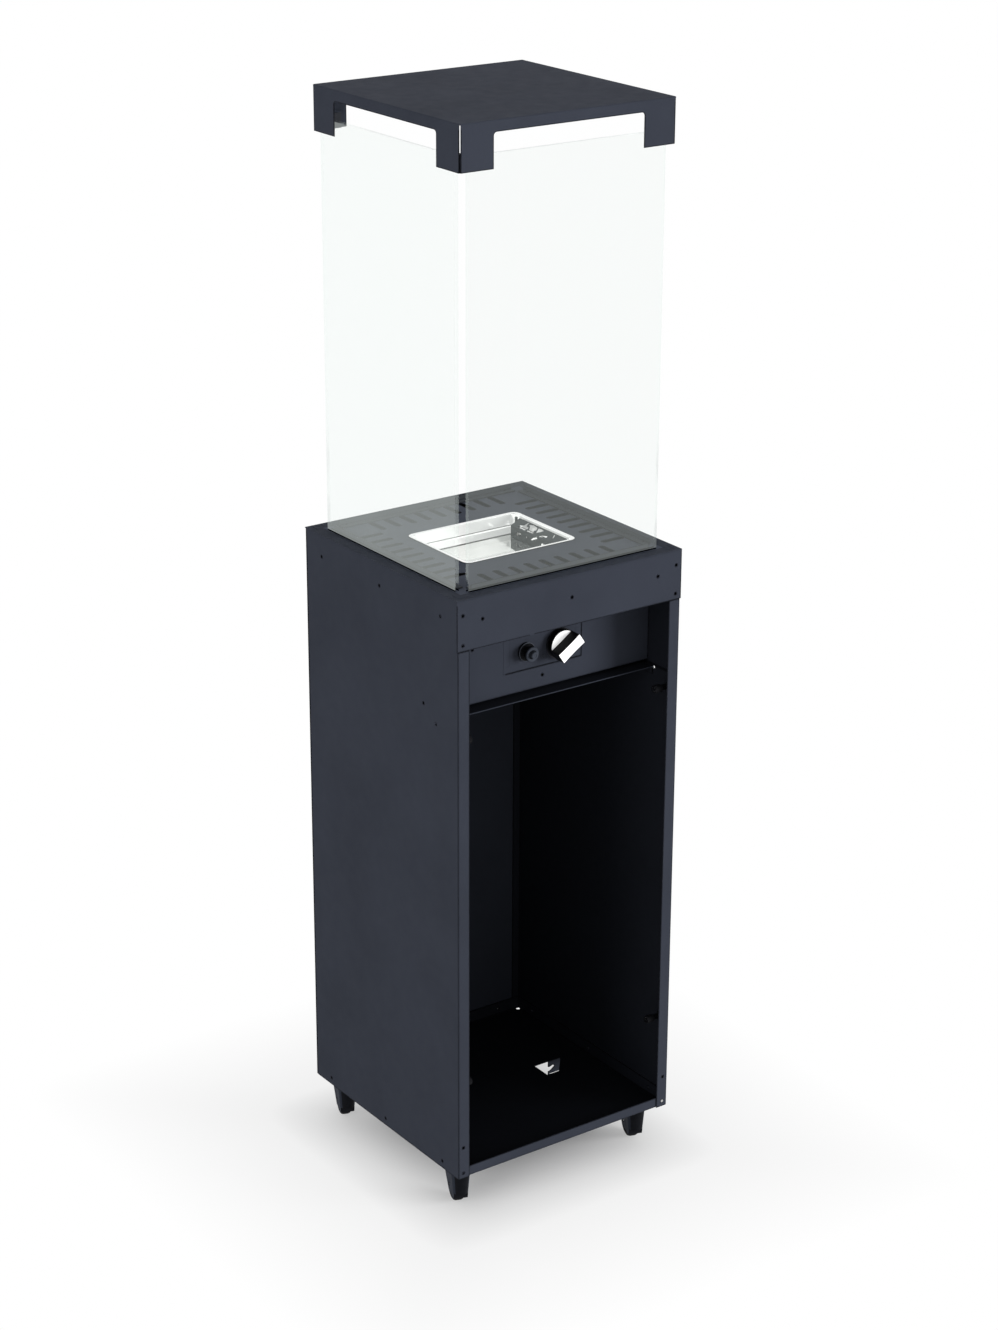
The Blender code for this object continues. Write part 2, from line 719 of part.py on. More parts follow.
def top_plate(parent):
    """The top with four rows of vent slots, the tray opening and a skirt that stiffens it below."""
    rows = []
    for step in range(SLOT_COUNT):
        along = (step - (SLOT_COUNT - 1) / 2) * SLOT_PITCH
        for side in (-1, 1):
            rows.append(slot((side * SLOT_MIDDLE, along), True))
            rows.append(slot((along, side * SLOT_MIDDLE), False))
    slits = [corner_slit(side, end) for side in (-1, 1) for end in (-1, 1)]
    room = 2 * (BOWL_RIM - BOWL_SHEET - BOWL_CLEARANCE)
    opening = rounded_rectangle(BOWL_WIDTH - room, BOWL_DEPTH - room, BOWL_CORNER - room / 2)
    plate = box((-HALF_WIDTH, -HALF_DEPTH, BODY_HEIGHT - SHEET), (HALF_WIDTH, HALF_DEPTH, BODY_HEIGHT))
    obj = add_object("top_plate", shapes_mesh([plate]), COAT, parent)
    front = -HALF_DEPTH + FASCIA_RETURN + GAP
    inner = FITTED_X - SHEET
    skirt = flat_mesh(
        [
            rectangle((-FITTED_X, front), (FITTED_X, FITTED_REAR)),
            rectangle((-inner, front + SHEET), (inner, FITTED_REAR - SHEET)),
        ],
        "Z",
        (BODY_HEIGHT - SKIRT_HEIGHT, BODY_HEIGHT - SHEET / 2),
    )
    join(obj, skirt, "UNION")
    cuts = flat_mesh([opening, *rows, *slits], "Z", (BODY_HEIGHT - 2 * SHEET, BODY_HEIGHT + SHEET))
    return join(obj, cuts)


def partition_shelf(parent):
    """The plate between the bottle and the valve, with down-turned flanges and a pipe hole."""
    obj = open_box(
        "partition_shelf",
        (-FITTED_X, SHELF_FRONT, SHELF_HEIGHT - SHELF_FLANGE),
        (FITTED_X, FITTED_REAR, SHELF_HEIGHT),
        [(0, 0, -1), (0, -1, 0)],
        COAT,
        parent,
    )
    pipe = rod(*across("Z", (KNOB_X, INLET_Y, SHELF_HEIGHT), 2 * SHEET), SHELF_PASS_RADIUS)
    return join(obj, shapes_mesh([pipe]))


VALVE_FRONT = CONTROL_Y + SHEET + GAP
INLET_Y = VALVE_FRONT + VALVE_BOSS_LENGTH + VALVE_SIZE[1] / 2


def control_panel(parent):
    """The recessed wall behind the opening's top, with a window for the control plate."""
    obj = open_box(
        "control_panel",
        (-FITTED_X, CONTROL_Y, CONTROL_BOTTOM),
        (FITTED_X, CONTROL_Y + CONTROL_RETURN, CONTROL_BOTTOM + CONTROL_HEIGHT),
        [(0, 1, 0)],
        COAT,
        parent,
    )
    half = PLATE_WIDTH / 2 + PLATE_SEAM
    window = box(
        (-half, CONTROL_Y - OVERRUN, PLATE_BOTTOM - PLATE_SEAM),
        (half, CONTROL_Y + 2 * SHEET, PLATE_BOTTOM + PLATE_HEIGHT + PLATE_SEAM),
    )
    holes = [screw_hole("X", (side * FITTED_X, CONTROL_HOLE_Y, CONTROL_HOLE_Z)) for side in (-1, 1)]
    left_hole = CONTROL_LEFT_HOLE_INSET - HALF_WIDTH
    for along, rise in ((0, CONTROL_LOW_HOLE_RISE), (left_hole, CONTROL_LEFT_HOLE_RISE)):
        holes.append(screw_hole("Y", (along, CONTROL_Y, CONTROL_BOTTOM + rise)))
    return join(obj, shapes_mesh([window, *holes]))


def control_plate(parent):
    """The flush plate that carries the valve and igniter, with tabs that reach behind the panel."""
    half = PLATE_WIDTH / 2
    top = PLATE_BOTTOM + PLATE_HEIGHT
    stem_hole = circle((KNOB_X, KNOB_HEIGHT), STEM_RADIUS + STEM_HOLE_CLEARANCE, ROUND_SIDES)
    igniter_radius = IGNITER_WAIST_RADIUS + STEM_HOLE_CLEARANCE
    igniter_hole = circle((IGNITER_X, KNOB_HEIGHT), igniter_radius, ROUND_SIDES)
    face = flat_mesh(
        [rectangle((-half, PLATE_BOTTOM), (half, top)), stem_hole, igniter_hole],
        "Y",
        (CONTROL_Y, CONTROL_Y + SHEET),
    )
    obj = add_object("control_plate", face, COAT, parent)
    behind = CONTROL_Y + SHEET + GAP
    tabs, feet = [], []
    for side in (-1, 1):
        near, edge, far = (side * (half + reach) for reach in (-PLATE_TAB, -PLATE_SEAM, PLATE_TAB))
        low, high = PLATE_BOTTOM + PLATE_TAB, top - PLATE_TAB
        tabs.append(box((near, behind, low), (far, behind + SHEET, high)))
        feet.append(box((near, behind - 2 * GAP, low + SHEET), (edge, behind + SHEET / 2, high - SHEET)))
    join(obj, shapes_mesh(tabs), "UNION")
    return join(obj, shapes_mesh(feet), "UNION")


def gas_valve(parent):
    """The valve block behind the control plate, bored for its stem, with outlets for two pipes."""
    wide, deep, tall = VALVE_SIZE
    front = VALVE_FRONT + VALVE_BOSS_LENGTH
    low = (KNOB_X - wide / 2, front, KNOB_HEIGHT - tall / 2)
    high = (KNOB_X + wide / 2, front + deep, KNOB_HEIGHT + tall / 2)
    obj = add_object("gas_valve", shapes_mesh([box(low, high)]), BRASS, parent)
    edge = obj.modifiers.new("Edge", "BEVEL")
    edge.width = FOLD_RADIUS
    edge.segments = 1
    boss = rod((KNOB_X, VALVE_FRONT, KNOB_HEIGHT), (KNOB_X, front + SHEET, KNOB_HEIGHT), VALVE_BOSS_RADIUS)
    join(obj, shapes_mesh([boss]), "UNION")
    depth = STEM_INSIDE + PUSH_ROOM
    bore = rod(
        (KNOB_X, VALVE_FRONT - OVERRUN, KNOB_HEIGHT),
        (KNOB_X, VALVE_FRONT + depth, KNOB_HEIGHT),
        STEM_RADIUS + STEM_BORE_CLEARANCE,
    )
    return join(obj, shapes_mesh([bore]))


def knob_parts(parent):
    """The stem that the valve guides, and the knob that turns on it."""
    axis = add_empty("knob_axis", (KNOB_X, 0, GROUND_CLEARANCE + KNOB_HEIGHT))
    stem_front = KNOB_FRONT + KNOB_DEPTH / 3
    stem = rod((0, stem_front, 0), (0, VALVE_FRONT + STEM_INSIDE, 0), STEM_RADIUS)
    add_object("valve_stem", shapes_mesh([stem]), STEEL, axis)
    body = rod((0, KNOB_FRONT, 0), (0, KNOB_FRONT + KNOB_DEPTH, 0), KNOB_RADIUS, sides=FINE_SIDES)
    knob = add_object("control_knob", shapes_mesh([body]), BLACK_PLASTIC, axis)
    edge = knob.modifiers.new("Edge", "BEVEL")
    edge.width = FOLD_RADIUS / 2
    edge.segments = 1
    span = (KNOB_FRONT - GRIP_DEPTH, KNOB_FRONT + FOLD_RADIUS)
    grip = flat_mesh([rounded_rectangle(GRIP_LENGTH, GRIP_WIDTH, FOLD_RADIUS)], "Y", span)
    grip.transform(Matrix.Rotation(-GRIP_ANGLE, 4, "Y"))
    join(knob, grip, "UNION")
    back = KNOB_FRONT + KNOB_DEPTH + OVERRUN
    bore = rod((0, stem_front - GAP, 0), (0, back, 0), STEM_RADIUS + STEM_BORE_CLEARANCE)
    return join(knob, shapes_mesh([bore]))


def knob_bezel(parent):
    """The thin ring on the control plate behind the knob."""
    mesh = flat_mesh(
        [
            circle((KNOB_X, KNOB_HEIGHT), BEZEL_RADIUS, FINE_SIDES),
            circle((KNOB_X, KNOB_HEIGHT), STEM_RADIUS + STEM_HOLE_CLEARANCE, SMALL_SIDES),
        ],
        "Y",
        (CONTROL_Y - GAP - BEZEL_DEPTH, CONTROL_Y - GAP),
    )
    return add_object("knob_bezel", mesh, DARK_STEEL, parent)


def igniter_parts(parent):
    """The stepped igniter housing, whose nut clamps the plate, and its push button."""
    ring_back = CONTROL_Y - GAP
    ring_front = ring_back - IGNITER_RING_DEPTH
    collar = ring_front - IGNITER_COLLAR_DEPTH
    behind = CONTROL_Y + SHEET + GAP
    stretches = (
        (collar + IGNITER_RING_DEPTH, behind + SHEET, IGNITER_WAIST_RADIUS, IGNITER_WAIST_RADIUS),
        (ring_front, ring_back, IGNITER_RING_RADIUS, IGNITER_RING_RADIUS),
        (collar, collar + IGNITER_COLLAR_DEPTH / 2, IGNITER_COLLAR_TIP, IGNITER_COLLAR_RADIUS),
        (behind, behind + IGNITER_BODY_LENGTH, IGNITER_BODY_RADIUS, IGNITER_BODY_RADIUS),
    )
    waist, *others = (
        rod((IGNITER_X, start, KNOB_HEIGHT), (IGNITER_X, end, KNOB_HEIGHT), near, far, SMALL_SIDES)
        for start, end, near, far in stretches
    )
    obj = add_object("igniter_body", shapes_mesh([waist]), BLACK_PLASTIC, parent)
    for shape in others:
        join(obj, shapes_mesh([shape]), "UNION")
    socket = rod(
        (IGNITER_X, collar - OVERRUN, KNOB_HEIGHT),
        (IGNITER_X, collar + BUTTON_SOCKET, KNOB_HEIGHT),
        BUTTON_RADIUS + BUTTON_CLEARANCE,
    )
    join(obj, shapes_mesh([socket]))
    front = collar - BUTTON_DEPTH
    rear = collar + BUTTON_SOCKET - PUSH_ROOM
    profile = [
        (0, rear - front),
        (BUTTON_RADIUS, rear - front),
        (BUTTON_RADIUS, FOLD_RADIUS / 2),
        (BUTTON_RADIUS - FOLD_RADIUS / 2, 0),
        (0, 0),
    ]
    place = (IGNITER_X, front, KNOB_HEIGHT)
    return turned("igniter_button", profile, (0, 1, 0), BLACK_PLASTIC, parent, place)


def burner_bowl(parent):
    """The polished tray: a flat rim on the top plate, a wall, a ledge and a shallow well."""
    rim = ON_TOP + BOWL_SHEET
    ledge = rim - BOWL_WALL_DROP
    lower = BOWL_RIM + BOWL_DRAFT + BOWL_LEDGE
    inside = [
        (0, rim, BOWL_CORNER),
        (BOWL_RIM, rim, BOWL_WALL_CORNER),
        (BOWL_RIM + BOWL_DRAFT, ledge, BOWL_WALL_CORNER),
        (lower, ledge, BOWL_WELL_CORNER),
        (lower + BOWL_DRAFT, BOWL_FLOOR, BOWL_WELL_CORNER),
    ]
    underside = [(0, rim - BOWL_SHEET, BOWL_CORNER)]
    for inset, height, corner in inside[1:]:
        underside.append((inset - BOWL_SHEET, height - BOWL_SHEET, corner + BOWL_SHEET))
    building = bmesh.new()
    rings = []
    for inset, height, corner in underside[::-1] + inside:
        outline = rounded_rectangle(BOWL_WIDTH - 2 * inset, BOWL_DEPTH - 2 * inset, corner)
        rings.append([building.verts.new((x, y, height)) for x, y in outline])
    for below, above in zip(rings, rings[1:]):
        for index in range(len(below)):
            corners = (below[index - 1], below[index], above[index], above[index - 1])
            building.faces.new(corners)
    building.faces.new(rings[0])
    building.faces.new(rings[-1])
    bmesh.ops.recalc_face_normals(building, faces=building.faces)
    mesh = bpy.data.meshes.new("burner_bowl")
    building.to_mesh(mesh)
    building.free()
    obj = add_object("burner_bowl", mesh, POLISHED, parent)
    under = (BOWL_FLOOR - BOWL_SHEET - OVERRUN, BOWL_FLOOR + OVERRUN / 2)
    stems = (
        (BURNER_Y, INLET_RADIUS),
        (PILOT_Y, PILOT_RADIUS / 2),
        (ELECTRODE_Y, ELECTRODE_RADIUS),
        (COUPLE_Y, COUPLE_RADIUS / 2),
    )
    holes = [
        rod(
            (BURNER_X, along, under[0]),
            (BURNER_X, along, under[1]),
            radius + STEM_HOLE_CLEARANCE,
            sides=HOLE_SIDES,
        )
        for along, radius in stems
    ]
    return join(obj, shapes_mesh(holes))


def main_burner(parent):
    """The ported bar with its inlet, which passes down through the tray."""
    base = BOWL_FLOOR + GAP
    half = BURNER_WIDTH / 2
    start, end = BURNER_Y - BURNER_LENGTH / 2, BURNER_Y + BURNER_LENGTH / 2
    bar = box((BURNER_X - half, start, base), (BURNER_X + half, end, base + BURNER_HEIGHT))
    obj = add_object("main_burner", shapes_mesh([bar]), STEEL, parent)
    edge = obj.modifiers.new("Edge", "BEVEL")
    edge.width = FOLD_RADIUS
    edge.segments = 1
    foot = (BURNER_X, BURNER_Y, BOWL_FLOOR - UNDER_BOWL_STUB)
    stub = rod(foot, (BURNER_X, BURNER_Y, base + SHEET), INLET_RADIUS)
    join(obj, shapes_mesh([stub]), "UNION")
    ports = []
    count = int(BURNER_LENGTH / PORT_PITCH) - 1
    across_bar = half + OVERRUN
    low, high = base + BURNER_HEIGHT - PORT_DEPTH, base + BURNER_HEIGHT + OVERRUN
    for step in range(count):
        middle = BURNER_Y + (step - (count - 1) / 2) * PORT_PITCH
        first, last = middle - PORT_WIDTH / 2, middle + PORT_WIDTH / 2
        ports.append(box((BURNER_X - across_bar, first, low), (BURNER_X + across_bar, last, high)))
    return join(obj, shapes_mesh(ports))


def pilot_parts(parent):
    """The pilot head, its spark electrode and its flame sensor, in a row under the guard."""
    base = BOWL_FLOOR + GAP
    stub = BOWL_FLOOR - UNDER_BOWL_STUB
    head = [
        (0, PILOT_HEIGHT),
        (PILOT_RADIUS * 2 / 3, PILOT_HEIGHT),
        (PILOT_RADIUS, PILOT_HEIGHT * 3 / 4),
        (PILOT_RADIUS, 0),
        (PILOT_RADIUS / 2, 0),
        (PILOT_RADIUS / 2, stub - base),
        (0, stub - base),
    ]
    turned("pilot_burner", head, (0, 0, 1), BRASS, parent, (BURNER_X, PILOT_Y, base))
    pin = [
        (0, PILOT_HEIGHT),
        (ELECTRODE_RADIUS / 2, PILOT_HEIGHT),
        (ELECTRODE_RADIUS / 2, PILOT_HEIGHT / 2),
        (ELECTRODE_RADIUS * 4 / 3, PILOT_HEIGHT / 2),
        (ELECTRODE_RADIUS * 4 / 3, 0),
        (ELECTRODE_RADIUS, 0),
        (ELECTRODE_RADIUS, stub - base),
        (0, stub - base),
    ]
    turned("spark_electrode", pin, (0, 0, 1), CERAMIC, parent, (BURNER_X, ELECTRODE_Y, base))
    sensor = [
        (0, PILOT_HEIGHT),
        (COUPLE_RADIUS / 2, PILOT_HEIGHT - COUPLE_RADIUS / 2),
        (COUPLE_RADIUS / 2, PILOT_HEIGHT / 3),
        (COUPLE_RADIUS, PILOT_HEIGHT / 3),
        (COUPLE_RADIUS, 0),
        (COUPLE_RADIUS / 2, 0),
        (COUPLE_RADIUS / 2, stub - base),
        (0, stub - base),
    ]
    turned("thermocouple", sensor, (0, 0, 1), STEEL, parent, (BURNER_X, COUPLE_Y, base))


def pilot_guard(parent):
    """The pierced cover over the burner end: a foot, an upright face and a sloping roof."""
    base = BOWL_FLOOR + GAP
    path = [
        (GUARD_X - GUARD_FOOT, base + GUARD_SHEET),
        (GUARD_X, base + GUARD_SHEET),
        (GUARD_X, base + GUARD_HEIGHT),
        (GUARD_X + GUARD_ROOF, base + GUARD_HEIGHT + GUARD_RISE),
    ]
    section = path + offset_path(path, GUARD_SHEET)[::-1]
    mesh = flat_mesh([section], "Y", (-GUARD_LENGTH / 2, GUARD_LENGTH / 2))
    obj = add_object("pilot_guard", mesh, GUARD_STEEL, parent)
    pitch = GUARD_LENGTH / (GUARD_WINDOWS + 1 / 2)
    windows, tops = [], []
    for step in range(GUARD_WINDOWS):
        along = (step - (GUARD_WINDOWS - 1) / 2) * pitch
        window = (pitch * 2 / 3, GUARD_HEIGHT * 2 / 5, GUARD_HEIGHT / 6)
        windows.append(rounded_rectangle(*window, (along, base + GUARD_HEIGHT * 3 / 5), GUARD_STEPS))
        top = (GUARD_ROOF / 2, pitch * 2 / 3, GUARD_ROOF / 6)
        tops.append(rounded_rectangle(*top, (GUARD_X + GUARD_ROOF / 2, along), GUARD_STEPS))
    join(obj, flat_mesh(windows, "X", (GUARD_X - GUARD_SHEET * 2, GUARD_X + GUARD_SHEET * 2)))
    low = base + GUARD_HEIGHT - GUARD_SHEET
    return join(obj, flat_mesh(tops, "Z", (low, low + GUARD_RISE + OVERRUN)))


def pipes(parent):
    """The main pipe, the pilot pipe and the inlet nipple with its barbs."""
    valve_top = KNOB_HEIGHT + VALVE_SIZE[2] / 2 + GAP
    stub_end = BOWL_FLOOR - UNDER_BOWL_STUB - GAP
    burner_end = stub_end - INJECTOR_HEIGHT - GAP
    foot = (BURNER_X, BURNER_Y, burner_end + GAP)
    injector = rod(foot, (BURNER_X, BURNER_Y, stub_end), INJECTOR_RADIUS, sides=NUT_SIDES)
    add_object("burner_injector", shapes_mesh([injector]), BRASS, parent)
    level = (valve_top + burner_end) / 2
    tube(
        "burner_pipe",
        [
            (KNOB_X, INLET_Y, valve_top),
            (KNOB_X, INLET_Y, level),
            (BURNER_X, BURNER_Y, level),
            (BURNER_X, BURNER_Y, burner_end),
        ],
        GAS_PIPE_RADIUS,
        BRASS,
        parent,
    )
    valve_back = VALVE_FRONT + VALVE_BOSS_LENGTH + VALVE_SIZE[1] + GAP
    tube(
        "pilot_pipe",
        [
            (KNOB_X, valve_back, KNOB_HEIGHT),
            (KNOB_X, PILOT_Y, KNOB_HEIGHT),
            (BURNER_X, PILOT_Y, KNOB_HEIGHT + PIPE_BEND * 2),
            (BURNER_X, PILOT_Y, stub_end),
        ],
        PILOT_PIPE_RADIUS,
        BRASS,
        parent,
    )
    top = KNOB_HEIGHT - VALVE_SIZE[2] / 2 - GAP
    foot = SHELF_HEIGHT - NIPPLE_LENGTH - top
    barb_shares = (2 / 3, 1 / 2, 1 / 3)
    first, second, third = (foot + NIPPLE_LENGTH * share for share in barb_shares)
    profile = [
        (0, 0),
        (NUT_RADIUS, 0),
        (NUT_RADIUS, -NUT_HEIGHT),
        (NIPPLE_RADIUS, -NUT_HEIGHT),
        (NIPPLE_RADIUS, first),
        (NIPPLE_BARB, first),
        (NIPPLE_RADIUS, second),
        (NIPPLE_BARB, second),
        (NIPPLE_RADIUS * 3 / 4, third),
        (NIPPLE_RADIUS * 3 / 4, foot),
        (0, foot),
    ]
    turned("gas_inlet", profile, (0, 0, 1), BRASS, parent, (KNOB_X, INLET_Y, top))


def glass_and_rails(parent):
    """Four clear panels round the flame, each behind its own angle rail on the top plate."""
    names = ("front", "right", "back", "left")
    for turn, name in enumerate(names):
        side = add_empty("glass_side_" + name, (0, 0, GROUND_CLEARANCE), turn * math.pi / 2)
        half = GLASS_WIDTH / 2
        pane = box((-half, -GLASS_OUTSIDE, ON_TOP), (half, -GLASS_INSIDE, ON_TOP + GLASS_HEIGHT))
        glass = add_object("glass_" + name, shapes_mesh([pane]), GLASS, side)
        edge = glass.modifiers.new("Edge", "BEVEL")
        edge.width = GLASS_EDGE
        edge.segments = 1
        path = [
            (-RAIL_FACE + RAIL_FOOT, ON_TOP),
            (-RAIL_FACE, ON_TOP),
            (-RAIL_FACE, ON_TOP + RAIL_UPRIGHT),
        ]
        rail = flat_mesh([folded(path, RAIL_SHEET)], "X", (-RAIL_LENGTH / 2, RAIL_LENGTH / 2))
        add_object("glass_rail_" + name, rail, COAT, side)


def roof(parent):
    """The cover: a folded tray with a cut-out in each side that leaves four corner legs."""
    low = (-ROOF_WIDTH / 2, -ROOF_DEPTH / 2, ROOF_TOP - ROOF_LEG_HEIGHT)
    high = (ROOF_WIDTH / 2, ROOF_DEPTH / 2, ROOF_TOP)
    obj = open_box("roof", low, high, [(0, 0, -1)], COAT, parent)
    cut_top = ROOF_TOP - ROOF_BAND
    cut_height = 2 * (ROOF_LEG_HEIGHT - ROOF_BAND)
    for normal, width, reach in (("Y", ROOF_WIDTH, ROOF_DEPTH), ("X", ROOF_DEPTH, ROOF_WIDTH)):
        outline = rounded_rectangle(
            width - 2 * ROOF_LEG_WIDTH, cut_height, ROOF_CUT_RADIUS, (0, cut_top - cut_height / 2)
        )
        join(obj, flat_mesh([outline], normal, (-reach / 2 - OVERRUN, reach / 2 + OVERRUN)))
    slits = []
    for side in (-1, 1):
        for end in (-1, 1):
            near = (side * (high[0] - ROOF_SLIT), end * (high[1] - ROOF_SLIT), low[2] - OVERRUN)
            far = (side * (high[0] + OVERRUN), end * (high[1] + OVERRUN), ROOF_TOP - FOLD_RADIUS)
            slits.append(box(near, far))
    return join(obj, shapes_mesh(slits))


def roof_clamps(parent):
    """The corner clamps: a block between two glass edges and the roof, with arms behind the glass."""
    outer = ROOF_WIDTH / 2 - SHEET - GAP
    block = GLASS_WIDTH / 2 + GAP
    face = RAIL_FACE
    back = RAIL_FACE - CLAMP_SHEET
    tip = block - CLAMP_ARM
    angle = [(tip, face), (tip, back), (back, back), (back, tip), (face, tip), (face, face)]
    low = ROOF_TOP - ROOF_LEG_HEIGHT
    centre = (outer + block) / 2
    level = low + CLAMP_HEIGHT / 2
    for turn, corner in enumerate(("back_right", "back_left", "front_left", "front_right")):
        stand = add_empty("roof_corner_" + corner, (0, 0, GROUND_CLEARANCE), turn * math.pi / 2)
        solid = shapes_mesh([box((block, block, low), (outer, outer, low + CLAMP_HEIGHT))])
        obj = add_object("roof_clamp_" + corner, solid, DARK_STEEL, stand)
        join(obj, flat_mesh([angle], "Z", (low + SHEET, low + CLAMP_HEIGHT - SHEET)), "UNION")
        start = (outer + OVERRUN, centre, level)
        stop = (outer - CLAMP_BOLT_DEPTH, centre, level)
        join(obj, shapes_mesh([rod(start, stop, CLAMP_BOLT, sides=HOLE_SIDES)]))


def door_magnet(name, side, height, parent):
    """A magnetic catch on a short neck, which reaches past the flange from the cabinet side."""
    reach = FITTED_X - OPENING_WIDTH / 2 + MAGNET_INSET
    profile = [
        (0, reach),
        (MAGNET_RADIUS - FOLD_RADIUS / 2, reach),
        (MAGNET_RADIUS, reach - FOLD_RADIUS / 2),
        (MAGNET_RADIUS, reach - MAGNET_LENGTH),
        (MAGNET_NECK, reach - MAGNET_LENGTH),
        (MAGNET_NECK, MAGNET_FOOT),
        (MAGNET_FOOT_RADIUS, MAGNET_FOOT),
        (MAGNET_FOOT_RADIUS, 0),
        (0, 0),
    ]
    place = (side * FITTED_X, -HALF_DEPTH + MAGNET_SETBACK, height)
    return turned(name, profile, (-side, 0, 0), BLACK_PLASTIC, parent, place)


def caster(corner, x, y):
    """A swivel caster: a plate with its pin, a hooded housing that trails, an axle and a wheel."""
    base = add_empty("caster_mount_" + corner, (x, y, 0))
    swivel = add_empty("caster_swivel_" + corner, (x, y, 0), -CASTER_REST_ANGLE)
    plate_top = GROUND_CLEARANCE - GAP
    plate_low = plate_top - CASTER_PLATE_SHEET
    race_low = plate_low - RACE_HEIGHT
    plate = flat_mesh(
        [rounded_rectangle(CASTER_PLATE, CASTER_PLATE, CASTER_PLATE_CORNER)], "Z", (plate_low, plate_top)
    )
    mount = add_object("caster_plate_" + corner, plate, DARK_STEEL, base)
    race = rod((0, 0, race_low), (0, 0, plate_low + CASTER_PLATE_SHEET / 2), RACE_RADIUS, sides=SMALL_SIDES)
    pin = rod((0, 0, race_low - PIN_LENGTH), (0, 0, plate_low + CASTER_PLATE_SHEET / 3), PIN_RADIUS)
    for shape in (race, pin):
        join(mount, shapes_mesh([shape]), "UNION")
    caster_housing(corner, swivel, race_low - RUNNING_GAP)
    wheel_empty = add_empty("caster_axle_line_" + corner, (0, 0, 0))
    wheel_empty.parent = swivel
    wheel_empty.location = (0, CASTER_TRAIL, AXLE_HEIGHT)
    wheel_empty.rotation_euler.x = math.pi / ROUND_SIDES
    half = WHEEL_WIDTH / 2 + WHEEL_SIDE_GAP + CHEEK
    axle = rod((-half, 0, 0), (half, 0, 0), AXLE_RADIUS)
    add_object("caster_axle_" + corner, shapes_mesh([axle]), STEEL, wheel_empty)
    caster_wheel(corner, wheel_empty)


def caster_housing(corner, swivel, top):
    """The hood: a round head under the plate that runs down into a shell over the wheel."""
    half = WHEEL_WIDTH / 2 + WHEEL_SIDE_GAP + CHEEK
    inside = WHEEL_WIDTH / 2 + WHEEL_SIDE_GAP
    shell = WHEEL_RADIUS + WHEEL_TOP_GAP + HOOD_SHELL
    centre = (CASTER_TRAIL, AXLE_HEIGHT)
    outline = arc(centre, shell, HOOD_START, HOOD_END, HOOD_STEPS)
    outline += arc(centre, AXLE_BOSS, BOSS_START, BOSS_END, CORNER_STEPS)
    hood = flat_mesh([outline], "X", (-half, half))
    obj = add_object("caster_housing_" + corner, hood, BLACK_PLASTIC, swivel)
    head = rod((0, 0, AXLE_HEIGHT), (0, 0, top), HEAD_FOOT_RADIUS, HEAD_RADIUS)
    join(obj, shapes_mesh([head]), "UNION")
    middle = (0, *centre)
    hollow = rod(*across("X", middle, inside), WHEEL_RADIUS + WHEEL_TOP_GAP)
    join(obj, shapes_mesh([hollow]))
    pin = rod((0, 0, top - PIN_LENGTH - RUNNING_GAP), (0, 0, top + OVERRUN), PIN_RADIUS + PIN_CLEARANCE)
    axle = rod(*across("X", middle, half + OVERRUN), AXLE_RADIUS + AXLE_SEAT_GAP)
    join(obj, shapes_mesh([pin]))
    return join(obj, shapes_mesh([axle]))


def caster_wheel(corner, wheel_empty):
    half = WHEEL_WIDTH / 2
    bore = AXLE_RADIUS + AXLE_CLEARANCE
    rim = WHEEL_RADIUS - WHEEL_RIM
    profile = [
        (bore, half - HUB_RECESS),
        (rim - HUB_RECESS / 2, half - HUB_RECESS),
        (rim, half),
        (WHEEL_RADIUS, half - WHEEL_ROUNDING),
    ]
    profile += [(radius, -height) for radius, height in reversed(profile)] + [profile[0]]
    return turned("caster_wheel_" + corner, profile, (1, 0, 0), RUBBER, wheel_empty, (0, 0, 0), ROUND_SIDES)


def build():
    body = add_empty("cabinet", (0, 0, GROUND_CLEARANCE))
    side_panel("left_side_panel", -1, body)
    side_panel("right_side_panel", 1, body)
    back_panel(body)
    floor_tray(body)
    front_fascia(body)
    top_plate(body)
    partition_shelf(body)
    control_panel(body)
    control_plate(body)
    gas_valve(body)
    knob_bezel(body)
    knob_parts(body)
    igniter_parts(body)
    pipes(body)
    burner_bowl(body)
    main_burner(body)
    pilot_parts(body)
    pilot_guard(body)
    glass_and_rails(body)
    roof(body)
    roof_clamps(body)
    for front_back, end in (("front", -1), ("back", 1)):
        for left_right, side in (("left", -1), ("right", 1)):
            corner = front_back + "_" + left_right
            caster(corner, side * CASTER_X, end * CASTER_Y)
    for left_right, side in (("left", -1), ("right", 1)):
        door_magnet("door_magnet_low_" + left_right, side, MAGNET_LOW, body)
        door_magnet("door_magnet_high_" + left_right, side, MAGNET_HIGH, body)


clear_scene()
PARTS = new_collection("gas_fireplace")
CUTTERS = new_collection("cutters")
COAT = new_material("anthracite_coat", (0.040, 0.044, 0.056), 0.45)
POLISHED = new_material("polished_steel", (0.78, 0.78, 0.77), 0.08, 1.0)
GUARD_STEEL = new_material("heat_tinted_steel", (0.12, 0.12, 0.12), 0.3, 1.0)
DARK_STEEL = new_material("dark_steel", (0.03, 0.03, 0.035), 0.4, 0.6)
STEEL = new_material("plated_steel", (0.62, 0.62, 0.6), 0.3, 1.0)
BRASS = new_material("brass", (0.66, 0.48, 0.2), 0.3, 1.0)
CERAMIC = new_material("white_ceramic", (0.85, 0.84, 0.8), 0.3)
BLACK_PLASTIC = new_material("black_plastic", (0.012, 0.012, 0.014), 0.4)
RUBBER = new_material("wheel_rubber", (0.014, 0.014, 0.016), 0.6)
GLASS = new_material("clear_glass", (0.86, 0.92, 0.9), 0.05, 0.0, 0.25)
build()
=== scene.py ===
"""The looks of a free-standing gas fireplace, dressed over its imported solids.

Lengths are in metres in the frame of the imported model: the origin is on the ground under the middle
of the cabinet, +Z is up and the door side faces -Y.
"""

from __future__ import annotations

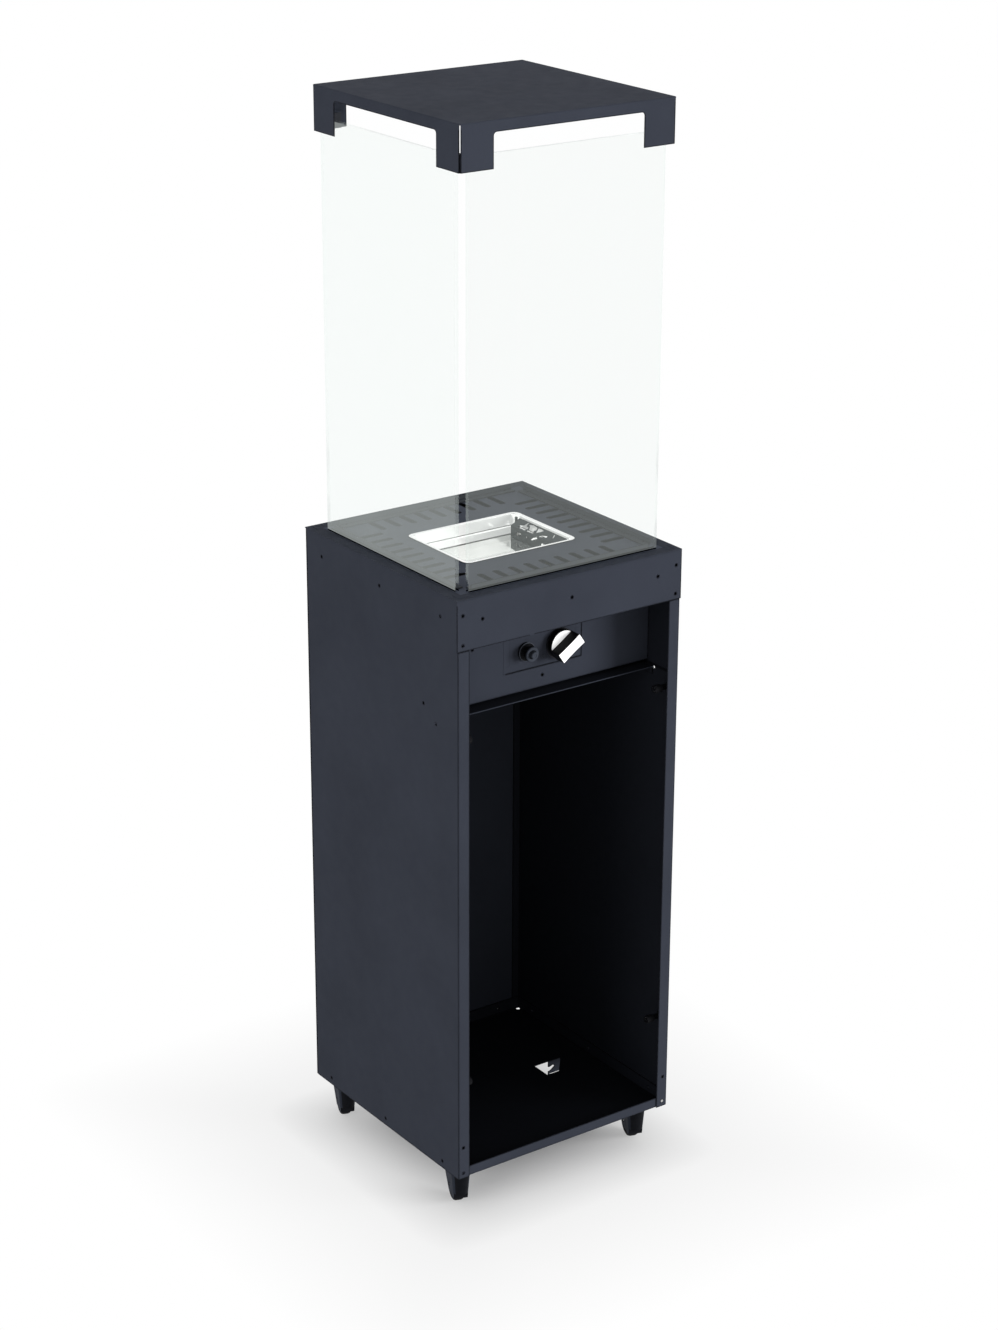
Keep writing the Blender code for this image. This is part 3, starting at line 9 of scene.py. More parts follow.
import json
import logging
import math
from collections.abc import Callable, Iterable, Sequence
from dataclasses import dataclass, field
from enum import Enum
from functools import cache
from typing import Any

import bpy
from mathutils import Matrix, Vector


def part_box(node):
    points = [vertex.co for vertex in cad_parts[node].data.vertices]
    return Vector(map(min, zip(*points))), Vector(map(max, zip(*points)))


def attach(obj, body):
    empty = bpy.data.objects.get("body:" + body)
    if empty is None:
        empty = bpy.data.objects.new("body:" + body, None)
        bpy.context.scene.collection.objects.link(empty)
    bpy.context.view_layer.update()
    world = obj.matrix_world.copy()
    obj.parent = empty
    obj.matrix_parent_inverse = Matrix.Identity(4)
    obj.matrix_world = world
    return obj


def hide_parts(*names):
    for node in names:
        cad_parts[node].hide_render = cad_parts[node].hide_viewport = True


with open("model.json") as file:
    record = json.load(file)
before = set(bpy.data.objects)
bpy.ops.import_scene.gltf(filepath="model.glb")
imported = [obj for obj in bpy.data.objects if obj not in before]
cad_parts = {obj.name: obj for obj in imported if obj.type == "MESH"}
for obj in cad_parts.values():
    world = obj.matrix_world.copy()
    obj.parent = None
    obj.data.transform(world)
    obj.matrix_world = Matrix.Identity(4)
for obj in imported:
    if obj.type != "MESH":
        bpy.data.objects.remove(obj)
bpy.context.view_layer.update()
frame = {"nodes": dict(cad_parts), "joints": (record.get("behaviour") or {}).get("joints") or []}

LOG = logging.getLogger("fireplace")
CORNERS = ("front_left", "front_right", "back_left", "back_right")
SIDES = {"front": (0, -1), "right": (1, 0), "back": (0, 1), "left": (-1, 0)}
SMOOTH_ANGLE = math.radians(32)
# Limits for the share of a normal that lies along a direction
FLAT = 0.7
UPRIGHT = 0.5
SQUARELY = 0.8
LEVEL = 0.9
EDGE_BAND = (0.998, 0.93)
# How far a face may lie from a height and still count as at it
FLUSH = 0.0001
Colour = tuple[float, float, float]
Point = tuple[float, float]
Place = tuple[float, float, float]
Piece = bpy.types.Object
Material = bpy.types.Material
Socket = bpy.types.NodeSocket


def aim(direction: Sequence[float]) -> Matrix:
    """Gives the turn from +Z to a direction."""
    return Vector((0, 0, 1)).rotation_difference(Vector(direction)).to_matrix().to_4x4()


class Axis(Enum):
    """The direction that a piece faces when it is put in its place."""

    LEFT = (-1, 0, 0)
    RIGHT = (1, 0, 0)
    FRONT = (0, -1, 0)
    BACK = (0, 1, 0)
    UP = (0, 0, 1)

    def turn(self) -> Matrix:
        """Gives the turn from +Z to this direction."""
        return aim(self.value)


class Turn(Enum):
    """How a cut-out outline stands: flat, or upright with its first measure along Y or along X."""

    UP = ((1, 0, 0), (0, 1, 0), (0, 0, 1))
    ALONG = ((0, 0, 1), (1, 0, 0), (0, 1, 0))
    ACROSS = ((1, 0, 0), (0, 0, -1), (0, 1, 0))

    def place(self) -> Matrix:
        """Gives the turn from the flat to this one."""
        return Matrix(self.value).to_4x4()


# Finishes


class Graph:
    """A small helper that builds the nodes of one material, or of the world."""

    def __init__(self, owner: Any) -> None:
        """Starts with no nodes.

        Args:
            owner: The new material or world.
        """
        self.owner = owner
        owner.use_nodes = True
        self.tree = owner.node_tree
        self.tree.nodes.clear()

    def node(self, kind: str, inputs: dict[str, Any] | None = None, **settings: Any) -> bpy.types.Node:
        """Adds a node.

        Args:
            kind: The node's type, without the ShaderNode in front.
            inputs: Values or sockets for its inputs, by name or by number.
            **settings: Its other properties.

        Returns:
            The node.
        """
        made = self.tree.nodes.new("ShaderNode" + kind)
        for key, value in settings.items():
            setattr(made, key, value)
        for key, value in (inputs or {}).items():
            self.feed(made.inputs[key], value)
        return made

    def feed(self, socket: Socket, value: Any) -> None:
        """Links a socket to an input, or sets the input's own value."""
        if isinstance(value, Socket):
            self.tree.links.new(value, socket)
        else:
            socket.default_value = value

    def maths(self, operation: str, *values: Any, clamp: bool = False) -> Socket:
        """Gives the result of one Math node."""
        inputs = dict(enumerate(values))
        return self.node("Math", inputs, operation=operation, use_clamp=clamp).outputs[0]

    def spread(self, value: Any, low: float, high: float, start: float = 0.0, end: float = 1.0) -> Any:
        """Maps a value from low..high onto start..end, held at the ends."""
        inputs = {0: value, 1: low, 2: high, 3: start, 4: end}
        return self.node("MapRange", inputs).outputs[0]

    def times(self, first: Any, *others: Any) -> Any:
        """Gives the product of all of these."""
        for other in others:
            first = self.maths("MULTIPLY", first, other)
        return first

    def size(self, value: Any) -> Any:
        """Gives a value without its sign."""
        return self.maths("ABSOLUTE", value)

    def over(self, value: Any, limit: float) -> Any:
        """Gives 1 where a value is over a limit, and 0 elsewhere."""
        return self.maths("GREATER_THAN", value, limit)

    def under(self, value: Any, limit: float) -> Any:
        """Gives 1 where a value is under a limit, and 0 elsewhere."""
        return self.maths("LESS_THAN", value, limit)

    def between(self, value: Any, low: float, high: float) -> Any:
        """Gives 1 where a value is between two limits, and 0 elsewhere."""
        return self.times(self.over(value, low), self.under(value, high))

    def choose(self, test: Any, passed: Any, failed: Any = 1.0) -> Any:
        """Gives one value where a test gives 1, and another where it gives 0."""
        return self.spread(test, 0.0, 1.0, failed, passed)

    def facing(self, normal: Any, direction: Any) -> Any:
        """Gives how squarely a normal faces a direction."""
        return self.node("VectorMath", {0: normal, 1: direction}, operation="DOT_PRODUCT").outputs["Value"]

    def place(self) -> Socket:
        """Gives the point's place on the object."""
        return self.node("TexCoord").outputs["Object"]

    def noise(self, scale: float, detail: float = 2.0, stretch: Sequence[float] = (1, 1, 1)) -> Any:
        """Gives a noise pattern of so many lumps in a metre, stretched along an axis if asked."""
        where = self.node("Mapping", {"Vector": self.place(), "Scale": tuple(stretch)}).outputs[0]
        inputs = {"Vector": where, "Scale": scale, "Detail": detail}
        return self.node("TexNoise", inputs).outputs[0]

    def mottle(self, scale: float, detail: float, start: float, end: float) -> Any:
        """Gives a value that wanders between two ends, in so many lumps to the metre."""
        return self.spread(self.noise(scale, detail), 0.3, 0.7, start, end)

    def bump(self, height: Any, strength: float, distance: float) -> Socket:
        """Gives the normal of a surface with this relief."""
        inputs = {"Strength": strength, "Distance": distance, "Height": height}
        return self.node("Bump", inputs).outputs[0]

    def blend(self, share: Any, first: Any, second: Any) -> Socket:
        """Mixes two colours."""
        made = self.node("Mix", data_type="RGBA")
        for socket, value in zip((made.inputs[0], made.inputs[6], made.inputs[7]), (share, first, second)):
            self.feed(socket, (*value, 1) if isinstance(value, tuple) and len(value) == 3 else value)
        return made.outputs[2]

    def tinted(self, level: Any, colour: Colour) -> Any:
        """Gives a colour times a level."""
        grey = self.node("CombineXYZ", {0: level, 1: level, 2: level}).outputs[0]
        return self.node("VectorMath", {0: grey, 1: colour}, operation="MULTIPLY").outputs[0]

    def edges(self, reach: float) -> Socket:
        """Gives 1 beside the sharp edges of a piece and 0 on its flats."""
        soft = self.node("Bevel", {"Radius": reach}, samples=6).outputs[0]
        true = self.node("NewGeometry").outputs["Normal"]
        return self.spread(self.facing(soft, true), *EDGE_BAND)

    def clear(self, tint: Colour) -> Socket:
        """Gives the shader of clear, tinted glass."""
        return self.node("BsdfTransparent", {"Color": (*tint, 1)}).outputs[0]

    def mix(self, share: Any, first: Any, second: Any) -> Socket:
        """Mixes two shaders."""
        return self.node("MixShader", {0: share, 1: first, 2: second}).outputs[0]

    def surface(self, colour: Any, rough: Any, normal: Any, more: dict[str, Any]) -> Material:
        """Finishes the material with one principled surface."""
        inputs = {"Base Color": colour, "Roughness": rough, "Normal": normal, **more}
        return self.finish(self.node("BsdfPrincipled", inputs).outputs[0])

    def finish(self, shader: Socket) -> Any:
        """Links the shader to the output and gives the material, or the world."""
        self.node("OutputWorld" if isinstance(self.owner, bpy.types.World) else "OutputMaterial", {"Surface": shader})
        return self.owner


def scaled(colour: Colour, share: float) -> Colour:
    """Gives a colour with each part times a share."""
    return tuple(part * share for part in colour)


class Compartment:
    """The space for the bottle, whose walls are painted darker: painted shade that keeps them in the dark."""

    INNER_FACE = 0.1882
    FRONT = -0.1876
    HEIGHT = (0.0727, 0.7640)
    FLOOR_SHADE = 0.0760
    LIP_HEIGHT = (0.7574, 0.7592)
    LIP_FRONT = (-0.1368, -0.1338)


class PlateSeam:
    """The left joint of the control plate, which hardly shows."""

    ACROSS = (-0.0705, -0.0632)
    HEIGHT = (0.7760, 0.9000)


class BurnerRoom:
    """The closed space behind the control panel, under the top plate, whose walls get painted shade."""

    FRONT = -0.1204
    WALL = 0.1862
    HEIGHT = (0.7595, 0.9492)


class Hearth:
    """The top plate with its rows of slots, and the roof over it, which are painted lighter, with painted shade round
    the slots.
    """

    REACH = 0.1712
    OUTER = 0.1755
    HEIGHT = (0.9480, 0.9530)
    BORDER_HEIGHT = (0.9440, 0.9530)
    SLOT_MIDDLE = 0.13452
    SLOT_HALF = 0.01797
    SLOT_RADIUS = 0.0034
    SLOT_PITCH = 0.0258
    SLOT_ROW = 4.4
    SLOT_SHADE = 0.0017
    SLOT_WALL = (0.9485, 0.9506)
    ROOF = 1.3000
    ROOF_FOLD = 1.5700


@dataclass(frozen=True)
class PowderCoat:
    """Baked powder coat on sheet steel, with its fine orange-peel grain and painted dark lines along its sharp edges
    and seams, painted shade in its joints and folds.

    Each share says how much of the colour is left in a place that is painted darker or lighter than the rest: painted
    shade where darker, painted light where lighter.
    """

    name: str
    colour: Colour
    roughness: float = 0.75
    gloss: float = 0.06
    # edge_reach and edge_share: painted dark lines along sharp edges and seams, painted shade in the joints and folds
    edge_reach: float = 0.0028
    edge_share: float = 0.9
    # Painted shade: inner_share, floor_share, room_share and niche_share darken the bottle compartment, its floor, the
    # burner room and the wall beside the controls
    inner_share: float = 0.34
    floor_share: float = 0.4
    room_share: float = 0.12
    niche_share: float = 0.35
    # Painted light: hearth_share, border_share, roof_share and brow_share make the top plate, its border and the roof
    # lighter
    hearth_share: float = 2.1
    border_share: float = 1.1
    roof_share: float = 1.36
    brow_share: float = 1.07
    # slot_share: painted shade round the slots and in their walls
    slot_share: float = 0.1

    def material(self) -> Material:
        """Builds the coat."""
        graph = Graph(bpy.data.materials.new(self.name))
        cloud = graph.mottle(9.0, 3.0, 0.93, 1.07)
        speck = graph.spread(graph.noise(900.0, 1.0), 0.35, 0.65, 0.96, 1.04)
        tone = CoatTone(graph, self)
        # cloud and speck are the coat's own tone; inside() and top() paint shade and light into its colour
        base = graph.tinted(graph.times(cloud, speck, tone.inside(), tone.top()), self.colour)
        plain = graph.maths("MAXIMUM", graph.maths("MAXIMUM", tone.lip(), tone.border()), tone.seam())
        # A painted dark line along sharp edges and seams (painted shade), left out where plain
        line = graph.times(graph.edges(self.edge_reach), graph.maths("SUBTRACT", 1.0, plain))
        colour = graph.blend(line, base, scaled(self.colour, 1 - self.edge_share))
        rough = graph.mottle(60.0, 2.0, self.roughness - 0.04, self.roughness + 0.05)
        relief = graph.bump(graph.noise(1100.0, 2.0), 0.25, 0.00012)
        return graph.surface(colour, rough, relief, {"Specular IOR Level": self.gloss})


class CoatTone:
    """The places where a coat is painted darker or lighter (painted shade and painted light), or shows no painted line
    at its edges.
    """

    def __init__(self, graph: Graph, coat: PowderCoat) -> None:
        """Reads the point's place and how it faces.

        Args:
            graph: The coat's nodes.
            coat: The coat, for its shares.
        """
        self.graph = graph
        self.coat = coat
        self.x, self.y, self.z = graph.node("SeparateXYZ", {0: graph.place()}).outputs
        self.reach = graph.maths("MAXIMUM", graph.size(self.x), graph.size(self.y))
        self.up = graph.node("SeparateXYZ", {0: graph.node("TexCoord").outputs["Normal"]}).outputs[2]

    def inside(self) -> Any:
        """Gives the painted shade in the bottle compartment, on its floor, in the burner's room and on the wall beside
        the controls.
        """
        graph, coat = self.graph, self.coat
        in_plan = graph.under(graph.maths("MAXIMUM", graph.size(self.x), self.y), Compartment.INNER_FACE)
        behind = graph.over(self.y, Compartment.FRONT)
        shelf = graph.times(in_plan, behind, graph.between(self.z, *Compartment.HEIGHT))
        on_floor = graph.under(self.z, Compartment.FLOOR_SHADE)
        left = graph.choose(on_floor, coat.inner_share * coat.floor_share, coat.inner_share)
        left = graph.choose(self.lip(), 1.0, left)
        level = graph.times(in_plan, graph.between(self.z, *BurnerRoom.HEIGHT))
        niche = graph.times(level, graph.over(self.x, BurnerRoom.WALL), behind)
        room = graph.times(level, graph.over(self.y, BurnerRoom.FRONT))
        niche_tone, room_tone = graph.choose(niche, coat.niche_share), graph.choose(room, coat.room_share)
        return graph.times(graph.choose(shelf, left), niche_tone, room_tone)

    def lip(self) -> Any:
        """Gives 1 on the front lip of the shelf, which catches the light."""
        level = self.graph.between(self.z, *Compartment.LIP_HEIGHT)
        return self.graph.times(level, self.graph.between(self.y, *Compartment.LIP_FRONT))

    def seam(self) -> Any:
        """Gives 1 along the left joint of the control plate."""
        level = self.graph.between(self.z, *PlateSeam.HEIGHT)
        return self.graph.times(level, self.graph.between(self.x, *PlateSeam.ACROSS))

    def border(self) -> Any:
        """Gives 1 where the top plate meets the panels and at the roof's folds, whose lines hardly show."""
        graph = self.graph
        outer = graph.times(graph.over(self.reach, Hearth.OUTER), graph.between(self.z, *Hearth.BORDER_HEIGHT))
        return graph.maths("MAXIMUM", graph.over(self.z, Hearth.ROOF_FOLD), outer)

    def slots(self) -> Any:
        """Gives 1 in a band round each slot, painted dark as painted shade so that the slots look wider and darker."""
        graph, found = self.graph, []
        straight = Hearth.SLOT_HALF - Hearth.SLOT_RADIUS
        for across, along in ((self.x, self.y), (self.y, self.x)):
            lag = graph.maths("WRAP", across, Hearth.SLOT_PITCH / 2, -Hearth.SLOT_PITCH / 2)
            far = graph.size(graph.maths("SUBTRACT", graph.size(along), Hearth.SLOT_MIDDLE))
            past = graph.maths("MAXIMUM", graph.maths("SUBTRACT", far, straight), 0.0)
            away = graph.maths("SQRT", graph.maths("ADD", graph.times(lag, lag), graph.times(past, past)))
            near = graph.under(away, Hearth.SLOT_RADIUS + Hearth.SLOT_SHADE)
            found.append(graph.times(near, graph.under(graph.size(across), Hearth.SLOT_PITCH * Hearth.SLOT_ROW)))
        return graph.maths("MAXIMUM", *found)

    def top(self) -> Any:
        """Gives the painted light on the top plate and the roof, and the painted shade round the slots and in their
        walls.
        """
        graph, coat = self.graph, self.coat
        in_plan = graph.under(self.reach, Hearth.REACH)
        flat = graph.over(self.up, FLAT)
        rim = graph.times(flat, graph.between(self.z, *Hearth.HEIGHT))
        bright = graph.times(in_plan, rim)
        lighter = graph.maths(
            "MAXIMUM", graph.choose(rim, coat.border_share), graph.choose(bright, coat.hearth_share)
        )
        shaded = graph.choose(graph.times(bright, self.slots()), coat.slot_share)
        upright = graph.under(graph.size(self.up), UPRIGHT)
        wall = graph.choose(graph.times(in_plan, upright, graph.between(self.z, *Hearth.SLOT_WALL)), coat.slot_share)
        roof = graph.choose(flat, coat.roof_share, coat.brow_share)
        return graph.times(lighter, shaded, wall, graph.choose(graph.over(self.z, Hearth.ROOF), roof))


@dataclass(frozen=True)
class Metal:
    """Bare metal: polished, brushed, drawn or tinted by heat."""

    name: str
    colour: Colour
    roughness: float
    stretch: Place = (1, 1, 1)
    grain: float = 400.0
    depth: float = 0.00003
    waviness: float = 0.0
    stain: Colour | None = None
    # edge_share paints dark lines along sharp edges, a painted shade at the edges
    edge_share: float = 0.0
    edge_reach: float = 0.0008
    metallic: float = 1.0
    # glow is painted light: an emission of the metal's own colour that makes it look brighter, though it is no lamp
    glow: float = 0.0

    def material(self) -> Material:
        """Builds the metal."""
        graph = Graph(bpy.data.materials.new(self.name))
        height = lines = graph.noise(self.grain, 3.0, self.stretch)
        rough = graph.spread(lines, 0.3, 0.7, self.roughness * 0.75, self.roughness * 1.3)
        second = self.stain or scaled(self.colour, 0.93)
        colour = graph.blend(graph.spread(graph.noise(22.0, 3.0), 0.4, 0.65), self.colour, second)
        if self.edge_share:
            colour = graph.blend(graph.edges(self.edge_reach), colour, scaled(self.colour, 1 - self.edge_share))
        if self.waviness:
            height = graph.maths("ADD", lines, graph.times(graph.noise(14.0, 1.0), self.waviness))
        more = {"Metallic": self.metallic, "Emission Color": colour, "Emission Strength": self.glow}
        return graph.surface(colour, rough, graph.bump(height, 0.3, self.depth), more)


@dataclass(frozen=True)
class Moulded:
    """Moulded plastic, rubber or glazed ceramic, with a fine surface grain."""

    name: str
    colour: Colour
    roughness: float
    gloss: float = 0.5
    grain: float = 700.0
    depth: float = 0.00008
    worn: Colour | None = None

    def material(self) -> Material:
        """Builds the plastic."""
        graph = Graph(bpy.data.materials.new(self.name))
        worn = self.worn or scaled(self.colour, 1.5)
        colour = graph.blend(graph.spread(graph.noise(45.0, 3.0), 0.5, 0.75, 0.0, 0.6), self.colour, worn)
        rough = graph.mottle(120.0, 2.0, self.roughness - 0.05, self.roughness + 0.06)
        relief = graph.bump(graph.noise(self.grain), 0.3, self.depth)
        return graph.surface(colour, rough, relief, {"Specular IOR Level": self.gloss})


@dataclass(frozen=True)
class Pane:
    """Clear toughened glass: a faint green tint, a painted reflection of a white room on its outer faces, and bright
    ground edges.
    """

    name: str
    outward: Place
    tint: Colour = (0.972, 0.979, 0.975)
    # veil, veil_index and veil_gain: a painted reflection of a white room, an emission mixed in by a Fresnel share
    veil: Colour = (0.93, 1.0, 0.975)
    veil_index: float = 1.5
    veil_gain: float = 2.15
    edge_tint: Colour = (0.975, 0.985, 0.98)
    edge_glow: float = 0.16
    edge_roughness: float = 0.18
    foot: float = 0.9565
    foot_tint: Colour = (0.93, 0.94, 0.94)
    # seam and seam_tint: a near-black band at the foot of the outer face, painted shade where the pane stands on the
    # plate
    seam: float = 0.9536
    seam_tint: Colour = (0.02, 0.02, 0.03)

    def material(self) -> Material:
        """Builds the glass."""
        graph = Graph(bpy.data.materials.new(self.name))
        along = graph.facing(graph.node("TexCoord").outputs["Normal"], self.outward)
        height = graph.node("SeparateXYZ", {0: graph.place()}).outputs[2]
        outer = graph.over(along, SQUARELY)
        backfacing = graph.node("NewGeometry").outputs["Backfacing"]
        front = graph.times(graph.maths("SUBTRACT", 1.0, backfacing), outer)
        # The veil is a painted reflection: an emission, not a mirror
        smear = graph.mottle(5.0, 2.0, self.veil_gain * 0.96, self.veil_gain * 1.04)
        fresnel = graph.node("Fresnel", {"IOR": self.veil_index}).outputs[0]
        share = graph.maths("MULTIPLY", graph.times(fresnel, front), smear, clamp=True)
        veil = graph.node("Emission", {"Color": (*self.veil, 1), "Strength": 1.0}).outputs[0]
        face = graph.mix(share, graph.clear(self.tint), veil)
        # Painted shade: the foot of the outer face below seam is near-black
        face = graph.mix(graph.times(graph.under(height, self.seam), outer), face, graph.clear(self.seam_tint))
        ground = graph.node("BsdfGlossy", {"Color": (*self.veil, 1), "Roughness": self.edge_roughness}).outputs[0]
        edge = graph.mix(self.edge_glow, graph.clear(self.edge_tint), ground)
        border = graph.mix(graph.over(height, self.foot), graph.clear(self.foot_tint), edge)
        return graph.finish(graph.mix(graph.over(graph.size(along), SQUARELY), border, face))


COAT = PowderCoat("anthracite_coat", (0.0365, 0.0412, 0.0555))
# RAIL: hearth_share paints light on the rails' flat tops at the plate's height, and edge_share paints dark lines along
# their edges
RAIL = PowderCoat(
    "rail_coat", (0.0560, 0.0610, 0.0700), edge_reach=0.0012, edge_share=0.7, hearth_share=1.3, border_share=1.0
)
POLISHED = Metal("polished_steel", (0.80, 0.81, 0.79), 0.05, grain=260.0, depth=6e-6, waviness=0.2, metallic=0.80)
# TRAY_WALL: its glow is painted light that keeps the tray's walls white
TRAY_WALL = Metal("polished_wall", (0.975, 0.98, 0.97), 0.12, depth=6e-6, metallic=0.5, glow=0.38)
# TRAY_LINE: dark grey on the tray's folds, painted shade in its concave folds
TRAY_LINE = Metal("tray_fold", (0.16, 0.16, 0.155), 0.3, depth=6e-6, metallic=0.3)
# UNDERSIDE: near-black painted shade on the tray's underside and outer walls, in the dark burner room
UNDERSIDE = Metal("painted_shade_underside", (0.012, 0.013, 0.015), 0.60, depth=6e-6, metallic=0.0)
# BURNER_CHROME: its glow is painted light that keeps the burner bright
BURNER_CHROME = Metal("burner_chrome", (0.96, 0.965, 0.955), 0.15, depth=6e-6, metallic=0.5, glow=0.45)
BRIGHT_RIM = Metal("bright_rim", (0.98, 0.98, 0.975), 0.12, depth=4e-6, edge_share=0.5, edge_reach=0.0007)
GUARD_STEEL = Metal("heat_tinted_steel", (0.048, 0.056, 0.056), 0.40, stain=(0.038, 0.044, 0.046))
DARK_STEEL = Metal("dark_steel", (0.045, 0.047, 0.055), 0.42)
PLATED = Metal("plated_steel", (0.66, 0.66, 0.65), 0.22, stretch=(1, 1, 12))
CHROME = Metal("bright_chrome", (0.95, 0.95, 0.94), 0.03, depth=4e-6)
# SATIN: its glow is painted light that keeps the knob's face white, and edge_share paints a dark outline round it
SATIN = Metal(
    "satin_chrome", (0.98, 0.98, 0.975), 0.42, depth=4e-6, edge_share=0.7, edge_reach=0.0005, metallic=0.10, glow=0.50
)
BRASS = Metal("brass", (0.30, 0.23, 0.12), 0.34, stain=(0.20, 0.15, 0.09))
CERAMIC = Moulded("white_ceramic", (0.82, 0.81, 0.77), 0.2, worn=(0.70, 0.68, 0.62))
BLACK = Moulded("black_plastic", (0.0040, 0.0042, 0.0055), 0.55, gloss=0.10)
SLATE = Moulded("slate_plastic", (0.040, 0.046, 0.060), 0.55, gloss=0.10)
# HOOD: the near-black of the hood is painted shade; its own grey shows on the cheeks (CHEEK)
HOOD = Moulded("hood_plastic", (0.0055, 0.0060, 0.0080), 0.70, gloss=0.06)
CHEEK = Moulded("hood_cheek", (0.022, 0.026, 0.037), 0.70, gloss=0.06)
RUBBER = Moulded("wheel_rubber", (0.0055, 0.0055, 0.0065), 0.75, gloss=0.06)
# RING is lighter than the housing: painted light on the ring's front, where the collar's shadow would fall
RING = Moulded("igniter_ring", (0.085, 0.094, 0.115), 0.60, gloss=0.10)
MAGNET = Metal("magnet_face", (0.30, 0.30, 0.31), 0.35)


@cache
def material_of(finish: Any) -> Material:
    """Gives a finish's material, the same one each time."""
    return finish.material()


# The bench: pieces are made at the origin, facing +Z, then put in their place


def leave_edit() -> None:
    """Goes back to object mode with nothing selected."""
    if bpy.context.mode != "OBJECT":
        bpy.ops.object.mode_set(mode="OBJECT")
    bpy.ops.object.select_all(action="DESELECT")


def take(obj: Piece) -> None:
    """Makes one object the only one selected."""
    leave_edit()
    obj.select_set(True)
    bpy.context.view_layer.objects.active = obj


def edit(obj: Piece) -> None:
    """Opens one object in edit mode with all of it selected."""
    take(obj)
    bpy.ops.object.mode_set(mode="EDIT")
    bpy.ops.mesh.select_all(action="SELECT")


def settle() -> None:
    """Applies the active object's place, turn and scale to its mesh."""
    bpy.ops.object.transform_apply(location=True, rotation=True, scale=True)


def begin(name: str, add: Callable[..., Any], scale: Sequence[float] = (1, 1, 1), **settings: Any) -> Piece:
    """Adds the primitive that a piece is shaped from.

    Args:
        name: The piece's name.
        add: The operator that adds it.
        scale: Its size along each axis.
        **settings: The operator's settings.

    Returns:
        The object, with its place, turn and scale applied.
    """
    leave_edit()
    add(**settings)
    obj = bpy.context.active_object
    obj.name = obj.data.name = name
    obj.scale = scale
    settle()
    return obj


def square_up() -> None:
    """Turns every face of the open mesh outward and leaves edit mode."""
    bpy.ops.mesh.select_all(action="SELECT")
    bpy.ops.mesh.normals_make_consistent(inside=False)
    leave_edit()


def turned(name: str, profile: Sequence[Point], sides: int = 48) -> Piece:
    """A turned piece, raised ring by ring from a disc.

    Args:
        name: The piece's name.
        profile: Radius and height of each ring, from the closed bottom to the closed top.
        sides: Facets round it.

    Returns:
        The object at the origin.
    """
    radius, height = profile[0]
    ring = {"vertices": sides, "radius": radius, "fill_type": "NGON", "location": (0, 0, height)}
    obj = begin(name, bpy.ops.mesh.primitive_circle_add, **ring)
    edit(obj)
    for wide, high in profile[1:]:
        bpy.ops.mesh.extrude_region_move(TRANSFORM_OT_translate={"value": (0, 0, high - height)})
        bpy.ops.transform.resize(value=(wide / radius, wide / radius, 1))
        radius, height = wide, high
    square_up()
    return obj


def block(name: str, low: Sequence[float], high: Sequence[float]) -> Piece:
    """A block between two corners, which is then shaped."""
    low, high = Vector(low), Vector(high)
    return begin(name, bpy.ops.mesh.primitive_cube_add, high - low, size=1, location=(low + high) / 2)


def drum(name: str, start: Sequence[float], end: Sequence[float], radius: float, sides: int = 48) -> Piece:
    """A round bar between two points, which is then shaped."""
    start, end = Vector(start), Vector(end)
    turn = Vector((0, 0, 1)).rotation_difference(end - start).to_euler()
    bar = {"vertices": sides, "radius": radius, "depth": (end - start).length}
    return begin(name, bpy.ops.mesh.primitive_cylinder_add, location=(start + end) / 2, rotation=turn, **bar)


def prism(name: str, outline: Sequence[Point], start: float, end: float, turn: Turn) -> Piece:
    """A plate or a cutter of any outline.

    Args:
        name: The piece's name.
        outline: Its corners in order.
        start: Where it begins, along the third direction.
        end: Where it ends.
        turn: How the outline stands.

    Returns:
        The object.
    """
    low, high = (-end, -start) if turn is Turn.ACROSS else (start, end)
    obj = begin(name, bpy.ops.mesh.primitive_circle_add, vertices=len(outline), radius=1, fill_type="NGON")
    for vertex, (first, second) in zip(obj.data.vertices, outline):
        vertex.co = (first, second, low)
    edit(obj)
    bpy.ops.mesh.extrude_region_move(TRANSFORM_OT_translate={"value": (0, 0, high - low)})
    square_up()
    return put(obj, turn.place())


def modifier(obj: Piece, kind: str, **settings: Any) -> Piece:
    """Adds a modifier and applies it."""
    take(obj)
    added = obj.modifiers.new(kind.title(), kind)
    for key, value in settings.items():
        setattr(added, key, value)
    bpy.ops.object.modifier_apply(modifier=added.name)
    return obj


def combine(obj: Piece, operation: str, *others: Piece) -> Piece:
    """Adds other objects to a piece or cuts them out of it, and uses them up."""
    for other in others:
        modifier(obj, "BOOLEAN", operation=operation, object=other, solver="EXACT")
        bpy.data.objects.remove(other, do_unlink=True)
    return obj


def soften(obj: Piece, width: float, segments: int, angle: float) -> Piece:
    """Rounds a piece's edges that are sharper than an angle in degrees."""
    limit = {"limit_method": "ANGLE", "angle_limit": math.radians(angle)}
    return modifier(obj, "BEVEL", width=width, segments=segments, use_clamp_overlap=True, harden_normals=False, **limit)


def put(obj: Piece, place: Matrix) -> Piece:
    """Moves a piece to its place and applies it, so that the object itself stays at the origin."""
    take(obj)
    obj.matrix_world = place @ obj.matrix_world
    settle()
    return obj


def at(middle: Sequence[float], facing: Axis = Axis.UP) -> Matrix:
    """The place of a piece that was made facing +Z."""
    return Matrix.Translation(Vector(middle)) @ facing.turn()


def dress(obj: Piece, finish: Any, smooth: bool = True) -> Piece:
    """Gives a piece its finish and its shading."""
    obj.data.materials.clear()
    obj.data.materials.append(material_of(finish))
    if smooth:
        take(obj)
        bpy.ops.object.shade_smooth_by_angle(angle=SMOOTH_ANGLE)
        modifier(obj, "WEIGHTED_NORMAL", mode="FACE_AREA", weight=50, keep_sharp=True)
    return obj


